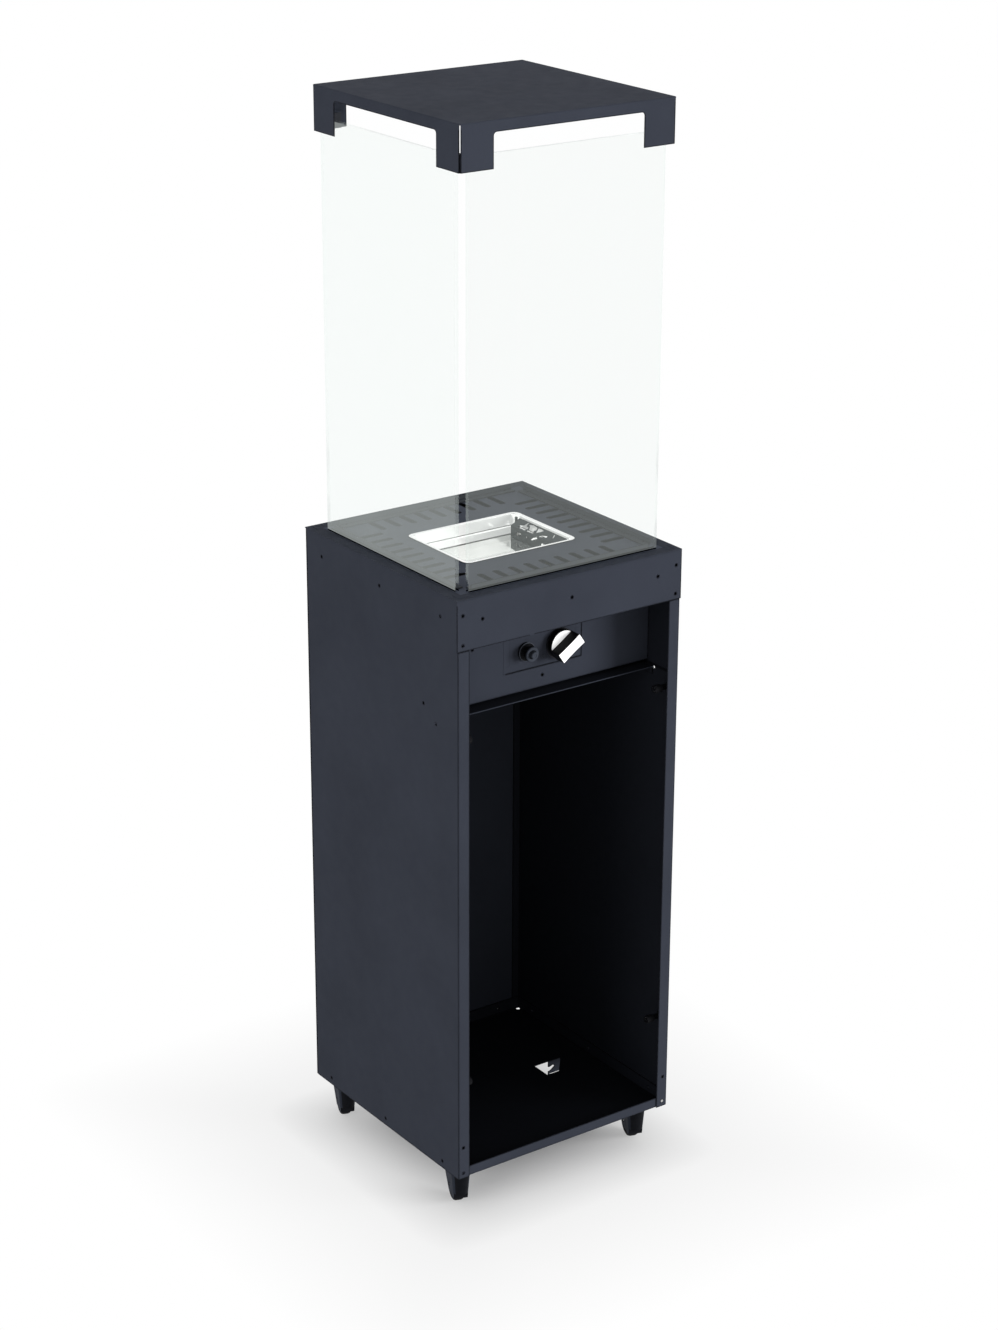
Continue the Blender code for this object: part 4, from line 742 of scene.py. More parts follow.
def add_finish(obj: Piece, finish: Any, test: Callable[[Any], bool]) -> Piece:
    """Gives the faces that pass a test a second finish."""
    obj.data.materials.append(material_of(finish))
    index = len(obj.data.materials) - 1
    for face in obj.data.polygons:
        if test(face):
            face.material_index = index
    return obj


def copy_of(obj: Piece, name: str, place: Matrix) -> Piece:
    """A copy of a finished piece with its own mesh, put in another place."""
    twin = obj.copy()
    twin.data = obj.data.copy()
    twin.name = twin.data.name = name
    bpy.context.scene.collection.objects.link(twin)
    twin.data.transform(place)
    return twin


def hand_over(obj: Piece, body: str, slot: str, *nodes: str) -> Piece:
    """Ties a finished piece to its body and hides the solids that it stands for.

    Args:
        obj: The piece.
        body: The body that carries it.
        slot: The record's material slot; not used.
        *nodes: The solids that it replaces.

    Returns:
        The piece.
    """
    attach(obj, body)
    if nodes:
        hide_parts(*nodes)
    LOG.info("%s rides on %s", obj.name, body)
    return obj


def scatter(model: Piece, places: dict[str, Matrix], slot: str) -> None:
    """Puts a copy of a finished piece in each named place on the cabinet, and uses the piece up."""
    for name, place in places.items():
        hand_over(copy_of(model, name, place), "cabinet", slot)
    bpy.data.objects.remove(model, do_unlink=True)


def coat_nodes(finish: Any, *names: str) -> None:
    """Gives solids that stay showing their finish."""
    for name in names:
        for slot in frame["nodes"][name].material_slots:
            slot.material = material_of(finish)


def away_of(face: Any) -> float:
    """How far the middle of a face is from the piece's own axis."""
    return math.hypot(face.center.x, face.center.y)


def outward_of(face: Any) -> float:
    """Over 0 where a face turns away from the piece's own axis, under 0 where it turns to it."""
    return face.normal.xy.dot(face.center.xy)


def lies_at(face: Any, height: float) -> bool:
    """Tells whether a face looks up and lies at a height."""
    return face.normal.z > LEVEL and abs(face.center.z - height) < FLUSH


def middle_of(node: str) -> Vector:
    """The middle of a solid's box."""
    low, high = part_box(node)
    return (low + high) / 2


def joint_of(name: str) -> dict[str, Any]:
    """Gives the record of a joint."""
    return next(joint for joint in frame["joints"] if joint["name"] == name)


# Sub-assemblies


@dataclass
class Cabinet:
    """The folded sheets, which keep their solids, and the small parts fixed to them."""

    screw_radius: float = 0.0029
    screw_height: float = 0.0012
    socket_radius: float = 0.0012
    pin_head_radius: float = 0.0043
    pin_head_height: float = 0.0023
    screw_place: Point = (0.1805, 0.0805)
    screw_gap: float = 0.0003
    pin_head_rise: float = 0.0013

    def dress_sheets(self) -> None:
        """Coats every sheet of the cabinet, the roof and the glass rails."""
        coat_nodes(COAT, "left_side_panel", "right_side_panel", "back_panel", "floor_tray", "front_fascia")
        coat_nodes(COAT, "top_plate", "partition_shelf", "control_panel", "control_plate", "roof")
        coat_nodes(RAIL, *("glass_rail_" + side for side in SIDES))

    def flange_screw(self) -> None:
        """Puts the one bright socket screw in the low right hole of the front."""
        radius, height = self.screw_radius, self.screw_height
        rim = (self.socket_radius * 1.15, height)
        head = turned("flange_screw", [(radius, 0), (radius, height * 0.5), (radius * 0.8, height * 0.95), rim], 32)
        combine(head, "DIFFERENCE", drum("socket", (0, 0, height * 0.3), (0, 0, height * 2), self.socket_radius, 6))
        along, up = self.screw_place
        put(head, at((along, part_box("floor_tray")[0].y - self.screw_gap, up), Axis.FRONT))
        dress(head, PLATED)
        hand_over(head, "cabinet", "plated_steel")

    def pin_heads(self) -> None:
        """Puts the polished head of each caster's pin on the floor."""
        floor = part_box("floor_tray")[0].z + self.pin_head_rise
        radius, height = self.pin_head_radius, self.pin_head_height
        profile = [(radius, 0), (radius, height * 0.75), (radius * 0.88, height * 0.97), (radius * 0.6, height)]
        model = dress(turned("caster_pin_head", profile, 32), CHROME)
        spots = {corner: middle_of("caster_plate_" + corner) for corner in CORNERS}
        places = {"caster_pin_head_" + corner: at((spot.x, spot.y, floor)) for corner, spot in spots.items()}
        scatter(model, places, "plated_steel")

    def build(self) -> None:
        """Builds the small parts and dresses the sheets."""
        self.dress_sheets()
        self.flange_screw()
        self.pin_heads()


@dataclass
class ControlKnob:
    """The black knob with its chrome face and its chrome-fronted grip bar."""

    radius: float = 0.022
    depth: float = 0.0056
    skirt: float = 0.0005
    recess: float = 0.0004
    grip_length: float = 0.0425
    grip_width: float = 0.0165
    grip_waist: float = 0.0006
    grip_front: float = 0.0025
    grip_draft: float = 0.06
    bore_radius: float = 0.0041
    angle: float = math.radians(34)

    def build(self) -> None:
        """Builds the knob in place of its solid."""
        low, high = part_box("control_knob")
        radius, depth = self.radius, self.depth
        inner = radius - self.skirt
        face_height = depth - self.recess
        profile = [
            (radius - 0.001, 0), (radius, 0.001), (radius, depth - 0.0012), (radius - 0.0003, depth - 0.0002),
            (radius - 0.0006, depth), (inner, depth), (inner - 0.0003, face_height),
        ]
        body = turned("control_knob_body", profile, 96)
        combine(body, "DIFFERENCE", drum("bore", (0, 0, -0.001), (0, 0, depth - 0.0012), self.bore_radius, 32))
        dress(body, BLACK)
        # The face's satin chrome glows: painted light
        add_finish(body, SATIN, lambda face: lies_at(face, face_height) and away_of(face) < inner - 0.0002)
        grip = self.grip(face_height - 0.0003, high.y - low.y)
        for piece in (body, grip):
            put(piece, at((middle_of("valve_stem").x, high.y, (low.z + high.z) / 2), Axis.FRONT))
        hand_over(body, "knob", "black_plastic", "control_knob")
        hand_over(grip, "knob", "black_plastic")

    def grip(self, base: float, top: float) -> Piece:
        """The bar across the knob: waisted black sides under a chrome front."""
        half_length, half_width = self.grip_length / 2, self.grip_width / 2
        bar = block("control_knob_grip", (-half_length, -half_width, base), (half_length, half_width, top))
        edit(bar)
        bpy.ops.mesh.subdivide(number_cuts=11)
        leave_edit()
        for vertex in bar.data.vertices:
            share = vertex.co.x / half_length
            vertex.co.y *= 1 - (self.grip_waist / half_width) * (1 - share * share)
            rise = (vertex.co.z - base) / (top - base)
            vertex.co.y *= 1 + self.grip_draft * (1 - rise)
        soften(bar, 0.0004, 2, 50.0)
        bar.data.transform(Matrix.Rotation(self.angle, 4, "Z"))
        dress(bar, BLACK)
        return add_finish(bar, SATIN, lambda face: face.normal.z > LEVEL and face.center.z > top - self.grip_front)


@dataclass
class Igniter:
    """The stepped igniter housing with its push button."""

    ring_radius: float = 0.0136
    collar_radius: float = 0.0110
    collar_tip: float = 0.0102
    collar_depth: float = 0.0125
    waist_radius: float = 0.0072
    button_radius: float = 0.0052
    recess_radius: float = 0.0064
    recess_depth: float = 0.0040
    hole_depth: float = 0.0115
    nut_radius: float = 0.0090
    nut_gap: float = 0.0016
    screw_place: Point = (0.0018, 0.8112)
    screw_profile: tuple[Point, ...] = (
        (0.0028, 0), (0.0028, 0.0006), (0.0024, 0.0009), (0.0019, 0.0009), (0.0017, 0.0003), (0.0008, 0.0003),
        (0.0007, 0.0007),
    )

    def build(self) -> None:
        """Builds the housing and the button in place of their solids."""
        centre = middle_of("igniter_body")
        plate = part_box("control_plate")[0].y
        button_low, button_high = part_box("igniter_button")
        housing = self.housing(plate)
        button = self.button(button_high.y - button_low.y)
        put(housing, at((centre.x, plate, centre.z), Axis.FRONT))
        put(button, at((centre.x, button_high.y, centre.z), Axis.FRONT))
        dress(button, SLATE)
        hand_over(housing, "cabinet", "black_plastic", "igniter_body")
        hand_over(button, "igniter_push", "black_plastic", "igniter_button")
        self.plate_screw(plate)

    def housing(self, plate: float) -> Piece:
        """The nut behind the plate, the ring on it and the collar round the button, in one turned piece."""
        low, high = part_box("igniter_body")
        front, back = plate - low.y, plate - high.y
        step, waist_top = front - self.collar_depth, front - self.collar_depth / 2
        ring, waist, collar = self.ring_radius, self.waist_radius, self.collar_radius
        hole, bottom = self.button_radius + 0.0001, front - self.recess_depth
        profile = [
            (self.nut_radius - 0.0008, back), (self.nut_radius, back + 0.0008), (self.nut_radius, -self.nut_gap),
            (waist, -self.nut_gap), (waist, 0.0003), (ring - 0.0006, 0.0003), (ring, 0.0009), (ring, step - 0.0010),
            (ring - 0.0008, step), (waist + 0.0004, step + 0.0001), (waist, step + 0.0006),
            (waist, waist_top - 0.0006), (collar - 0.0004, waist_top), (collar, waist_top + 0.0006),
            (collar, front - 0.0016), (self.collar_tip, front), (self.recess_radius, front),
            (self.recess_radius - 0.0002, bottom), (hole, bottom), (hole, front - self.hole_depth),
        ]
        housing = dress(turned("igniter_housing", profile, 64), SLATE)
        # Painted light: the ring's front face gets the lighter RING
        add_finish(
            housing,
            RING,
            lambda face: away_of(face) > ring - 0.0016 and step - 0.0012 < face.center.z < step + 0.0002,
        )
        # Painted shade: the ring's side, the waist, the collar's side and the recess round the button are given
        # near-black plastic
        add_finish(housing, BLACK, lambda face: away_of(face) > ring - 0.0009 and face.center.z < step - 0.0011)
        return add_finish(
            housing,
            BLACK,
            lambda face: (
                away_of(face) < self.recess_radius + 0.0001
                or (face.center.z < front - 0.0017 and away_of(face) < collar + 0.0002)
            )
            and face.center.z > step,
        )

    def button(self, length: float) -> Piece:
        """The push button with its dished end."""
        radius = self.button_radius
        profile = [
            (radius, 0), (radius, length - 0.0012), (radius - 0.0003, length - 0.0005), (radius - 0.0010, length),
            (radius - 0.0018, length), (radius - 0.0026, length - 0.0005),
        ]
        return turned("igniter_push_button", profile, 48)

    def plate_screw(self, plate: float) -> None:
        """The small ringed screw between the igniter and the knob."""
        along, up = self.screw_place
        screw = turned("control_plate_screw", self.screw_profile, 32)
        put(screw, at((along, plate, up), Axis.FRONT))
        dress(screw, SLATE)
        hand_over(screw, "cabinet", "dark_steel")


@dataclass
class BurnerTray:
    """The pressed and polished tray, with the pierced guard over its burner."""

    sheet: float = 0.001
    rim: float = 0.005
    ledge: float = 0.004
    wall_drop: float = 0.0175
    well_drop: float = 0.011
    corner: float = 0.011
    draft: float = 0.001
    fold: float = 0.0011
    fold_slopes: Point = (0.12, 0.97)
    band: float = 0.0012
    wall_slope: float = 0.6
    under_slope: float = 0.3
    guard_sheet: float = 0.0008
    guard_reach: float = 0.0155
    guard_rise: float = 0.0172
    guard_end: float = 0.0080
    face_windows: tuple[tuple[Point, ...], ...] = (
        ((0.0425, 0.9312), (0.0395, 0.9288), (0.0275, 0.9310), (0.0285, 0.9353), (0.0360, 0.9348)),
        ((0.0185, 0.9336), (0.0180, 0.9322), (0.0132, 0.9322), (0.0140, 0.9345)),
        ((0.0055, 0.9325), (0.0025, 0.9320), (-0.0115, 0.9385), (-0.0100, 0.9408), (-0.0020, 0.9372)),
        ((-0.0200, 0.9300), (-0.0210, 0.9345), (-0.0330, 0.9350), (-0.0345, 0.9310)),
        ((-0.0410, 0.9300), (-0.0420, 0.9360), (-0.0520, 0.9365), (-0.0530, 0.9305)),
    )
    roof_openings: tuple[tuple[Point, ...], ...] = (
        (
            (0.0738, 0.0400), (0.0728, 0.0330), (0.0726, 0.0215), (0.0760, 0.0190), (0.0795, 0.0205),
            (0.0800, 0.0265), (0.0862, 0.0285), (0.0862, 0.0310), (0.0800, 0.0325), (0.0775, 0.0390),
        ),
        (
            (0.0728, 0.0180), (0.0732, 0.0036), (0.0750, 0.0010), (0.0772, 0.0060), (0.0800, 0.0030),
            (0.0845, 0.0060), (0.0858, 0.0180), (0.0835, 0.0255), (0.0812, 0.0200), (0.0775, 0.0165),
        ),
        (
            (0.0762, -0.0010), (0.0800, -0.0070), (0.0840, -0.0105), (0.0852, -0.0020), (0.0848, 0.0040),
            (0.0800, 0.0008),
        ),
        ((0.0722, -0.0130), (0.0762, -0.0270), (0.0795, -0.0250), (0.0760, -0.0120)),
        ((0.0790, -0.0385), (0.0845, -0.0355), (0.0852, -0.0330), (0.0800, -0.0360)),
    )

    def build(self) -> None:
        """Builds the tray and the guard, and dresses the burner and the pilot."""
        self.tray()
        self.guard()
        # The burner's chrome glows: painted light
        coat_nodes(BURNER_CHROME, "main_burner")
        coat_nodes(PLATED, "pilot_burner", "thermocouple")
        coat_nodes(CERAMIC, "spark_electrode")

    def tray(self) -> None:
        """Draws the sheet down in steps from its rim, then gives it its thickness and radii."""
        low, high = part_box("burner_bowl")
        width, depth, top = high.x - low.x, high.y - low.y, high.z
        span = (width, depth, 1)
        obj = begin("pressed_burner_tray", bpy.ops.mesh.primitive_plane_add, span, size=1, location=(0, 0, top))
        edit(obj)
        bpy.ops.mesh.bevel(offset=self.corner, segments=8, affect="VERTICES")
        bpy.ops.mesh.select_all(action="SELECT")
        bpy.ops.mesh.delete(type="ONLY_FACE")
        bpy.ops.mesh.select_mode(type="EDGE")
        bpy.ops.mesh.select_all(action="SELECT")
        inset = 0.0
        steps = ((self.rim, 0.0), (self.draft, self.wall_drop), (self.ledge, 0.0), (self.draft, self.well_drop))
        for inward, drop in steps:
            bpy.ops.mesh.extrude_edges_move(TRANSFORM_OT_translate={"value": (0, 0, -drop)})
            shares = [(side - 2 * (inset + inward)) / (side - 2 * inset) for side in (width, depth)]
            bpy.ops.transform.resize(value=(*shares, 1))
            inset += inward
        bpy.ops.mesh.edge_face_add()
        square_up()
        if max(obj.data.polygons, key=lambda face: face.area).normal.z < 0:
            edit(obj)
            bpy.ops.mesh.flip_normals()
            leave_edit()
        soften(obj, self.fold, 3, 40.0)
        modifier(obj, "SOLIDIFY", thickness=self.sheet, offset=-1.0, use_even_offset=True)
        self.finish_tray(dress(obj, POLISHED), top)
        hand_over(obj, "cabinet", "polished_steel", "burner_bowl")

    def finish_tray(self, obj: Piece, top: float) -> None:
        """Gives the tray's walls and ledge a painted glow, its folds and underside painted shade, and its rim its own
        bright look.
        """
        ledge = top - self.wall_drop
        bottom = ledge - self.well_drop
        # Painted light: the walls and the ledge band get the glowing TRAY_WALL
        add_finish(
            obj,
            TRAY_WALL,
            lambda face: (abs(face.normal.z) < self.wall_slope and outward_of(face) < 0)
            or (face.normal.z > self.wall_slope and abs(face.center.z - ledge) < self.band),
        )
        # Painted shade: dark lines on the folds at the ledge and at the bottom
        add_finish(
            obj,
            TRAY_LINE,
            lambda face: self.fold_slopes[0] < face.normal.z < self.fold_slopes[1]
            and (FLUSH < face.center.z - ledge < self.fold or 0 < face.center.z - bottom < self.band),
        )
        # Painted shade: the underside and the outer walls get the near-black UNDERSIDE
        slope = self.under_slope
        add_finish(
            obj, UNDERSIDE, lambda face: face.normal.z < -slope or (abs(face.normal.z) < slope and outward_of(face) > 0)
        )
        add_finish(obj, BRIGHT_RIM, lambda face: face.normal.z > slope and face.center.z > top - self.band)

    def guard(self) -> None:
        """Folds the guard from dark sheet and tears its uneven openings in it."""
        low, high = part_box("pilot_guard")
        sheet, right, end = self.guard_sheet, high.x, high.y - self.guard_end
        left, ridge = right - self.guard_reach, high.z - 0.0003
        shoulder = low.z + self.guard_rise
        section = [
            (left, low.z), (left + sheet, low.z), (left + sheet, shoulder - sheet * 0.6),
            (right, high.z - sheet * 1.4), (right, ridge), (left, shoulder),
        ]
        guard = prism("pilot_guard_sheet", section, low.y, end, Turn.ACROSS)
        for window in self.face_windows:
            combine(guard, "DIFFERENCE", prism("window", window, left - 0.002, left + 0.003, Turn.ALONG))
        for opening in self.roof_openings:
            combine(guard, "DIFFERENCE", prism("opening", opening, shoulder - 0.003, high.z + 0.004, Turn.UP))
        foot = block("guard_foot", (left - 0.0004, low.y, low.z), (left + 0.0030, end, low.z + sheet))
        combine(guard, "UNION", foot)
        post = block("guard_post", (right - 0.0030, high.y - 0.0032, low.z + 0.0152), high)
        strap_low = (right - 0.0012, high.y - 0.0085, low.z + 0.0165)
        combine(post, "UNION", block("guard_strap", strap_low, (right, high.y - 0.002, low.z + 0.0205)))
        combine(guard, "UNION", post)
        leg = block("guard_leg", (left, high.y - 0.0088, low.z), (right, end, shoulder + 0.0010))
        for vertex in leg.data.vertices:
            if vertex.co.z > shoulder:
                vertex.co.z = shoulder - 0.0002 + (ridge - shoulder) / (right - left) * (vertex.co.x - left)
        combine(guard, "UNION", leg)
        dress(guard, GUARD_STEEL, smooth=False)
        hand_over(guard, "cabinet", "heat_tinted_steel", "pilot_guard")


@dataclass
class Lantern:
    """The four panes, and the clamps that hold the roof on them."""

    bolt_radius: float = 0.0028
    bolt_depth: float = 0.0055
    bolt_inset: float = 0.0066
    rivet_radius: float = 0.0016
    rivet_rise: float = 0.0018
    rivet_line: float = 0.1622
    rivet_places: tuple[float, ...] = (-0.1382, 0.0, 0.1382)

    def build(self) -> None:
        """Dresses the panes and the clamps and adds the clamps' bolts and the rails' rivets."""
        far = {"tint": (0.998, 0.999, 0.999), "edge_tint": (0.998, 0.999, 0.999), "edge_glow": 0.0}
        # The left pane gets a stronger painted reflection (veil_gain)
        changes = {"front": {}, "back": far, "left": {"veil_gain": 2.7}, "right": far}
        for side, change in changes.items():
            coat_nodes(Pane(side + "_glass", (*SIDES[side], 0), **change), "glass_" + side)
        coat_nodes(DARK_STEEL, *("roof_clamp_" + corner for corner in CORNERS))
        self.bolts()
        self.rivets()

    def rivets(self) -> None:
        """Puts three small rivet heads in the foot of each glass rail."""
        radius, line = self.rivet_radius, self.rivet_line
        model = dress(turned("rail_rivet", [(radius, 0), (radius * 0.9, 0.0004), (radius * 0.5, 0.0006)], 20), BLACK)
        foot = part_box("top_plate")[1].z + self.rivet_rise
        places = {
            f"rail_rivet_{side}_{number}": at((x * line + y * along, y * line + x * along, foot))
            for side, (x, y) in SIDES.items()
            for number, along in enumerate(self.rivet_places, 1)
        }
        scatter(model, places, "dark_steel")

    def bolts(self) -> None:
        """Puts a bright socket bolt in one outer face of each clamp."""
        radius = self.bolt_radius
        tip = [(radius - 0.0004, 0.0052), (radius * 0.6, 0.0052), (radius * 0.55, 0.0030)]
        model = dress(turned("clamp_bolt", [(radius, 0), (radius, 0.0048), *tip], 32), PLATED)
        turns = {"back_right": Axis.RIGHT, "back_left": Axis.BACK, "front_left": Axis.LEFT, "front_right": Axis.FRONT}
        places = {}
        for corner, facing in turns.items():
            low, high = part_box("roof_clamp_" + corner)
            outer = high.x if "right" in corner else low.x
            end = high.y if "back" in corner else low.y
            from_x, from_y = self.bolt_depth, self.bolt_inset
            if facing in (Axis.FRONT, Axis.BACK):
                from_x, from_y = from_y, from_x
            spot = (outer - math.copysign(from_x, outer), end - math.copysign(from_y, end), (low.z + high.z) / 2)
            places["clamp_bolt_" + corner] = at(spot, facing)
        scatter(model, places, "plated_steel")


@dataclass
class Caster:
    """One swivel caster: a hooded housing, an axle and a dished wheel."""

    corner: str
    wheel_radius: float = 0.02478
    wheel_width: float = 0.015
    side_gap: float = 0.0008
    cheek: float = 0.0024
    top_gap: float = 0.0018
    shell: float = 0.0016
    trail: float = 0.024
    head_radius: float = 0.0155
    head_foot: float = 0.0115
    pin_radius: float = 0.0042
    pin_depth: float = 0.0204
    axle_radius: float = 0.0031
    bore_radius: float = 0.00298
    cheek_area: float = 2e-5
    # A point of each plane that cuts the hood open, and the direction of what goes
    mouth: tuple[tuple[Place, Place], ...] = (
        ((0, 0.0085, -0.0031), (0, 0.70, -0.714)),
        ((0, -0.0264, -0.0105), (0, 0.03, -1)),
    )
    joint: dict[str, Any] = field(default_factory=dict)

    def build(self) -> None:
        """Builds the housing and the wheel, and dresses the plate and the axle."""
        self.joint = joint_of("wheel_spin_" + self.corner)
        swivel = joint_of("caster_swivel_" + self.corner)["pos_m"]
        axis = self.joint["axis"]
        turn = Matrix.Rotation(math.atan2(axis[1], axis[0]), 4, "Z")
        self.housing(Matrix.Translation((swivel[0], swivel[1], 0)) @ turn)
        self.wheel()
        coat_nodes(DARK_STEEL, "caster_plate_" + self.corner)
        coat_nodes(PLATED, "caster_axle_" + self.corner)

    def housing(self, stand: Matrix) -> None:
        """The round head that runs down into a hood over the wheel, cut open by the planes of its mouth."""
        inside = self.wheel_width / 2 + self.side_gap
        half = inside + self.cheek
        outer = self.wheel_radius + self.top_gap + self.shell
        trail, height = self.trail, self.joint["pos_m"][2]
        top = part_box("caster_housing_" + self.corner)[1].z
        hood = drum("caster_hood_" + self.corner, (-half, 0, 0), (half, 0, 0), outer, 72)
        edit(hood)
        for point, normal in self.mouth:
            bpy.ops.mesh.select_all(action="SELECT")
            bpy.ops.mesh.bisect(plane_co=point, plane_no=normal, use_fill=True, clear_outer=True)
        leave_edit()
        put(hood, Matrix.Translation((0, trail, height)))
        profile = [
            (self.head_foot, height), (self.head_radius - 0.001, top - 0.006), (self.head_radius, top - 0.004),
            (self.head_radius, top - 0.0008), (self.head_radius - 0.0008, top),
        ]
        combine(hood, "UNION", turned("head", profile, 64))
        hollow = drum("hollow", (-inside, trail, height), (inside, trail, height), outer - self.shell, 72)
        pin = drum("pin", (0, 0, top - self.pin_depth), (0, 0, top + 0.005), self.pin_radius, 32)
        axle = drum("axle", (-0.02, trail, height), (0.02, trail, height), self.axle_radius, 32)
        combine(hood, "DIFFERENCE", hollow, pin, axle)
        soften(hood, 0.0005, 2, 40.0)
        put(hood, stand)
        # Painted shade: the hood is near-black, and only its cheeks keep the housing's own grey
        dress(hood, HOOD)
        sideways = (stand.to_3x3() @ Vector((1, 0, 0))).normalized()
        add_finish(hood, CHEEK, lambda face: abs(face.normal.dot(sideways)) > SQUARELY and face.area > self.cheek_area)
        hand_over(hood, "caster_fork_" + self.corner, "black_plastic", "caster_housing_" + self.corner)

    def wheel(self) -> None:
        """A rubber tread round a dished hub, turned in one piece."""
        half, radius = self.wheel_width / 2, self.wheel_radius
        side = [
            (0.0038, half - 0.0008), (0.0062, half - 0.0008), (0.0070, half - 0.0024), (0.0178, half - 0.0024),
            (0.0186, half - 0.0004), (0.0196, half), (radius - 0.0030, half), (radius - 0.0010, half - 0.0012),
            (radius, half - 0.0036),
        ]
        rings = [(wide, -high) for wide, high in side] + [(radius, 0.0)] + side[::-1]
        wheel = turned("caster_tyre_" + self.corner, rings, 64)
        combine(wheel, "DIFFERENCE", drum("bore", (0, 0, -0.02), (0, 0, 0.02), self.bore_radius, 32))
        put(wheel, Matrix.Translation(Vector(self.joint["pos_m"])) @ aim(self.joint["axis"]))
        dress(wheel, RUBBER)
        hand_over(wheel, "caster_roller_" + self.corner, "wheel_rubber", "caster_wheel_" + self.corner)


@dataclass
class DoorCatch:
    """A magnetic door catch on its short neck."""

    name: str
    facing: Axis
    magnet_recess: float = 0.0006

    def build(self) -> None:
        """Builds the catch in place of its solid."""
        low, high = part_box(self.name)
        length = high.x - low.x
        magnet = length - self.magnet_recess
        profile = [
            (0.0078, 0), (0.0080, 0.0004), (0.0080, 0.0018), (0.0074, 0.0022), (0.0042, 0.0022), (0.0040, 0.0026),
            (0.0040, length - 0.0122), (0.0054, length - 0.0120), (0.0060, length - 0.0112),
            (0.0060, length - 0.0008), (0.0054, length), (0.0042, length), (0.0041, magnet),
        ]
        catch = dress(turned(self.name + "_catch", profile, 48), BLACK)
        add_finish(catch, MAGNET, lambda face: lies_at(face, magnet))
        foot = high.x if self.facing is Axis.LEFT else low.x
        put(catch, at((foot, (low.y + high.y) / 2, (low.z + high.z) / 2), self.facing))
        hand_over(catch, "cabinet", "black_plastic", self.name)


class GasLine:
    """The valve, the pipes and the nozzle, which keep their solids."""

    def build(self) -> None:
        """Dresses the fittings."""
        coat_nodes(BRASS, "gas_valve", "burner_injector", "burner_pipe", "pilot_pipe", "gas_inlet")
        coat_nodes(PLATED, "valve_stem")
        coat_nodes(DARK_STEEL, "knob_bezel")


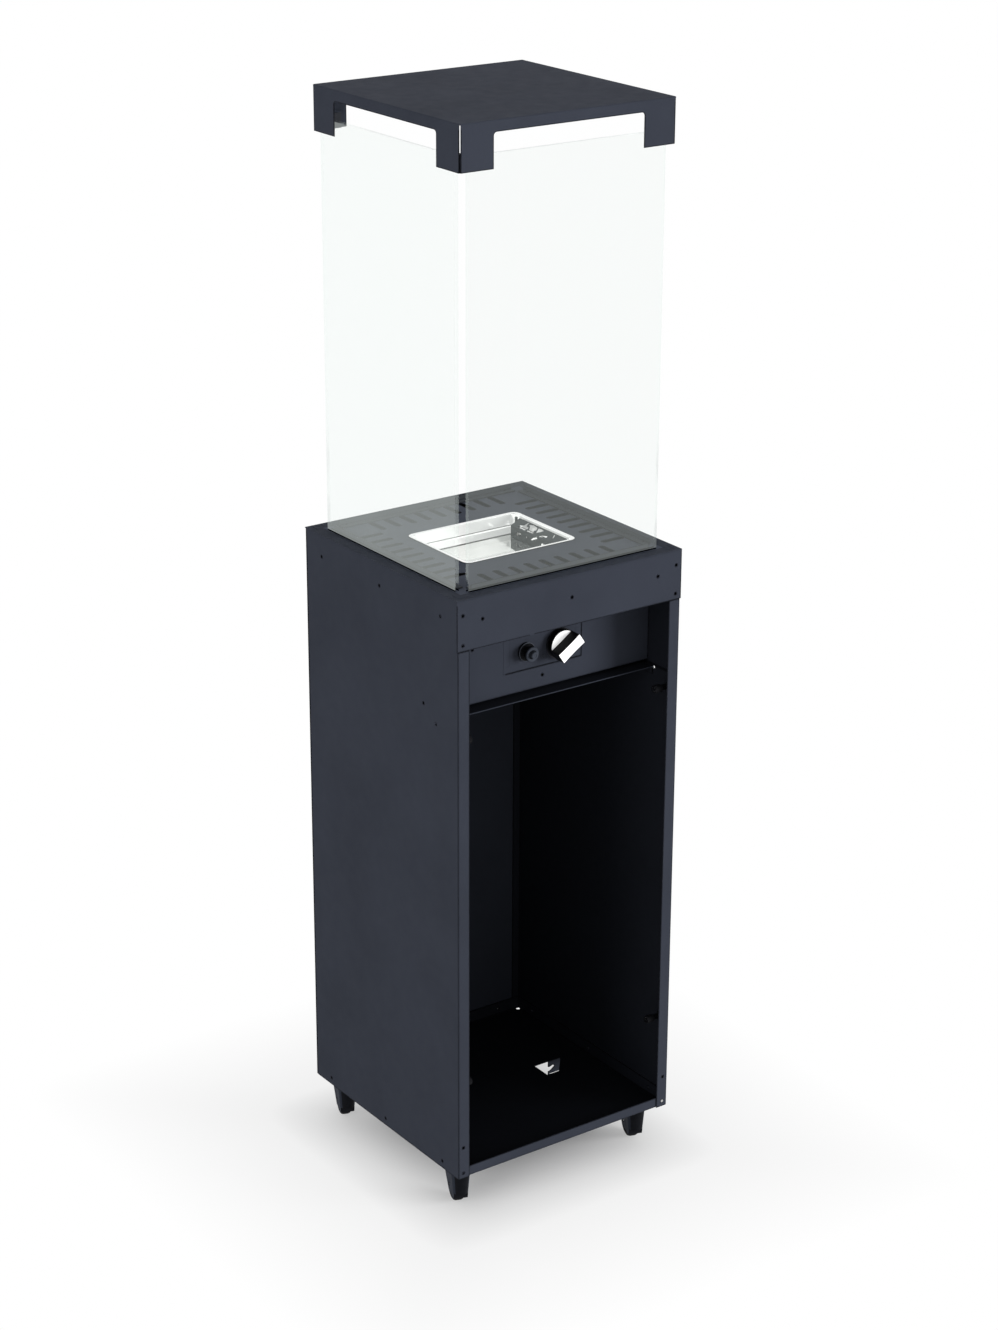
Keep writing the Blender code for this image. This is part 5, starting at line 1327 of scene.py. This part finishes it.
@dataclass
class Studio:
    """The pale floor, the plain light and the camera of the photograph."""

    camera_place: Place = (-2.2607, -3.1960, 2.2728)
    yaw: float = math.radians(35.4356)
    pitch: float = math.radians(21.1415)
    roll: float = math.radians(0.2147)
    lens: float = 79.55
    sensor: float = 36.0
    world_level: float = 0.43
    key_power: float = 528.0
    fill_power: float = 100.0
    lamp_size: float = 3.2
    lamp_aim: Place = (0, 0, 0.8)
    floor_size: float = 60.0
    floor_gap: float = 0.0002
    floor_colour: Colour = (0.82, 0.82, 0.82)
    # footing, near_glow and far_glow: the floor's glow fades near the cabinet's footing, painted shade round its base
    footing: float = 0.19
    near_glow: tuple[float, float, float, float] = (-0.10, 0.07, 0.05, 0.80)
    far_glow: tuple[float, float, float, float] = (0.07, 0.34, 0.0, 0.20)

    def build(self) -> None:
        """Sets up the floor, the world, the lamps and the camera."""
        self.floor()
        self.world()
        self.lamp("key_light", (5.0, -5.2, 1.3), self.key_power)
        self.lamp("fill_light", (-5.0, -0.6, 1.5), self.fill_power)
        self.camera()
        bpy.context.scene.view_settings.view_transform = "Standard"

    def floor(self) -> None:
        """A wide pale floor that the camera, gloss and glass see as white, with a weaker glow near the cabinet's
        footing that paints shade round its base.
        """
        plane = {"size": self.floor_size, "location": (0, 0, -self.floor_gap)}
        floor = begin("studio_floor", bpy.ops.mesh.primitive_plane_add, **plane)
        graph = Graph(bpy.data.materials.new("pale_floor"))
        paint = graph.tinted(graph.mottle(3.0, 2.0, 0.995, 1.005), self.floor_colour)
        matt = graph.node("BsdfDiffuse", {"Color": paint}).outputs[0]
        x, y, _ = graph.node("SeparateXYZ", {0: graph.place()}).outputs
        beside, beyond = (graph.maths("SUBTRACT", graph.size(value), self.footing) for value in (x, y))
        away = graph.maths("SMOOTH_MAX", beside, beyond, 0.1)
        glow = graph.node("Emission", {"Strength": 1.0}).outputs[0]
        # The glow is weaker near the footing, which paints shade on the floor round the base
        white = graph.maths("ADD", graph.spread(away, *self.near_glow), graph.spread(away, *self.far_glow))
        rays = graph.node("LightPath").outputs
        seen = graph.times(white, rays["Is Camera Ray"])
        mirrored = graph.maths("ADD", rays["Is Glossy Ray"], rays["Is Transmission Ray"], clamp=True)
        floor.data.materials.append(graph.finish(graph.mix(graph.maths("MAXIMUM", seen, mirrored), matt, glow)))

    def world(self) -> None:
        """White where it is seen, and a plain level where it lights."""
        world = bpy.data.worlds.new("studio")
        bpy.context.scene.world = world
        graph = Graph(world)
        rays = graph.node("LightPath").outputs
        seen = graph.maths("ADD", rays["Is Camera Ray"], rays["Is Glossy Ray"])
        seen = graph.maths("ADD", seen, rays["Is Transmission Ray"], clamp=True)
        level = graph.choose(seen, 1.0, self.world_level)
        graph.finish(graph.node("Background", {0: (1, 1, 1, 1), 1: level}).outputs[0])

    def lamp(self, name: str, place: Place, power: float) -> None:
        """A soft square lamp that faces the object."""
        data = bpy.data.lights.new(name, "AREA")
        data.shape = "SQUARE"
        data.size = self.lamp_size
        data.energy = power
        lamp = bpy.data.objects.new(name, data)
        lamp.visible_glossy = lamp.visible_transmission = False
        toward = Vector(self.lamp_aim) - Vector(place)
        self.stand(lamp, place, toward.to_track_quat("-Z", "Y"))

    def stand(self, obj: Piece, place: Sequence[float], turn: Any) -> None:
        """Puts a lamp or the camera in the scene."""
        bpy.context.scene.collection.objects.link(obj)
        obj.location = place
        obj.rotation_mode = "QUATERNION"
        obj.rotation_quaternion = turn

    def camera(self) -> None:
        """The camera where the photograph's was."""
        level = math.cos(self.pitch)
        forward = Vector((math.sin(self.yaw) * level, math.cos(self.yaw) * level, -math.sin(self.pitch)))
        right = Vector((math.cos(self.yaw), -math.sin(self.yaw), 0))
        above = right.cross(forward)
        tilted = right * math.cos(self.roll) + above * math.sin(self.roll)
        top = above * math.cos(self.roll) - right * math.sin(self.roll)
        data = bpy.data.cameras.new("photo_camera")
        data.sensor_width = self.sensor
        data.lens = self.lens
        camera = bpy.data.objects.new("photo_camera", data)
        self.stand(camera, self.camera_place, Matrix((tilted, top, -forward)).transposed().to_quaternion())
        bpy.context.scene.camera = camera


def main() -> None:
    """Builds every sub-assembly in order."""
    logging.basicConfig(level=logging.INFO, format="%(message)s")
    parts: Iterable[Any] = (
        Studio(),
        Cabinet(),
        ControlKnob(),
        Igniter(),
        BurnerTray(),
        Lantern(),
        GasLine(),
        *(Caster(corner) for corner in CORNERS),
        *(
            DoorCatch(f"door_magnet_{level}_{side}", facing)
            for level in ("low", "high")
            for side, facing in (("left", Axis.RIGHT), ("right", Axis.LEFT))
        ),
    )
    for part in parts:
        part.build()
    leave_edit()


if __name__ == "__main__":
    main()
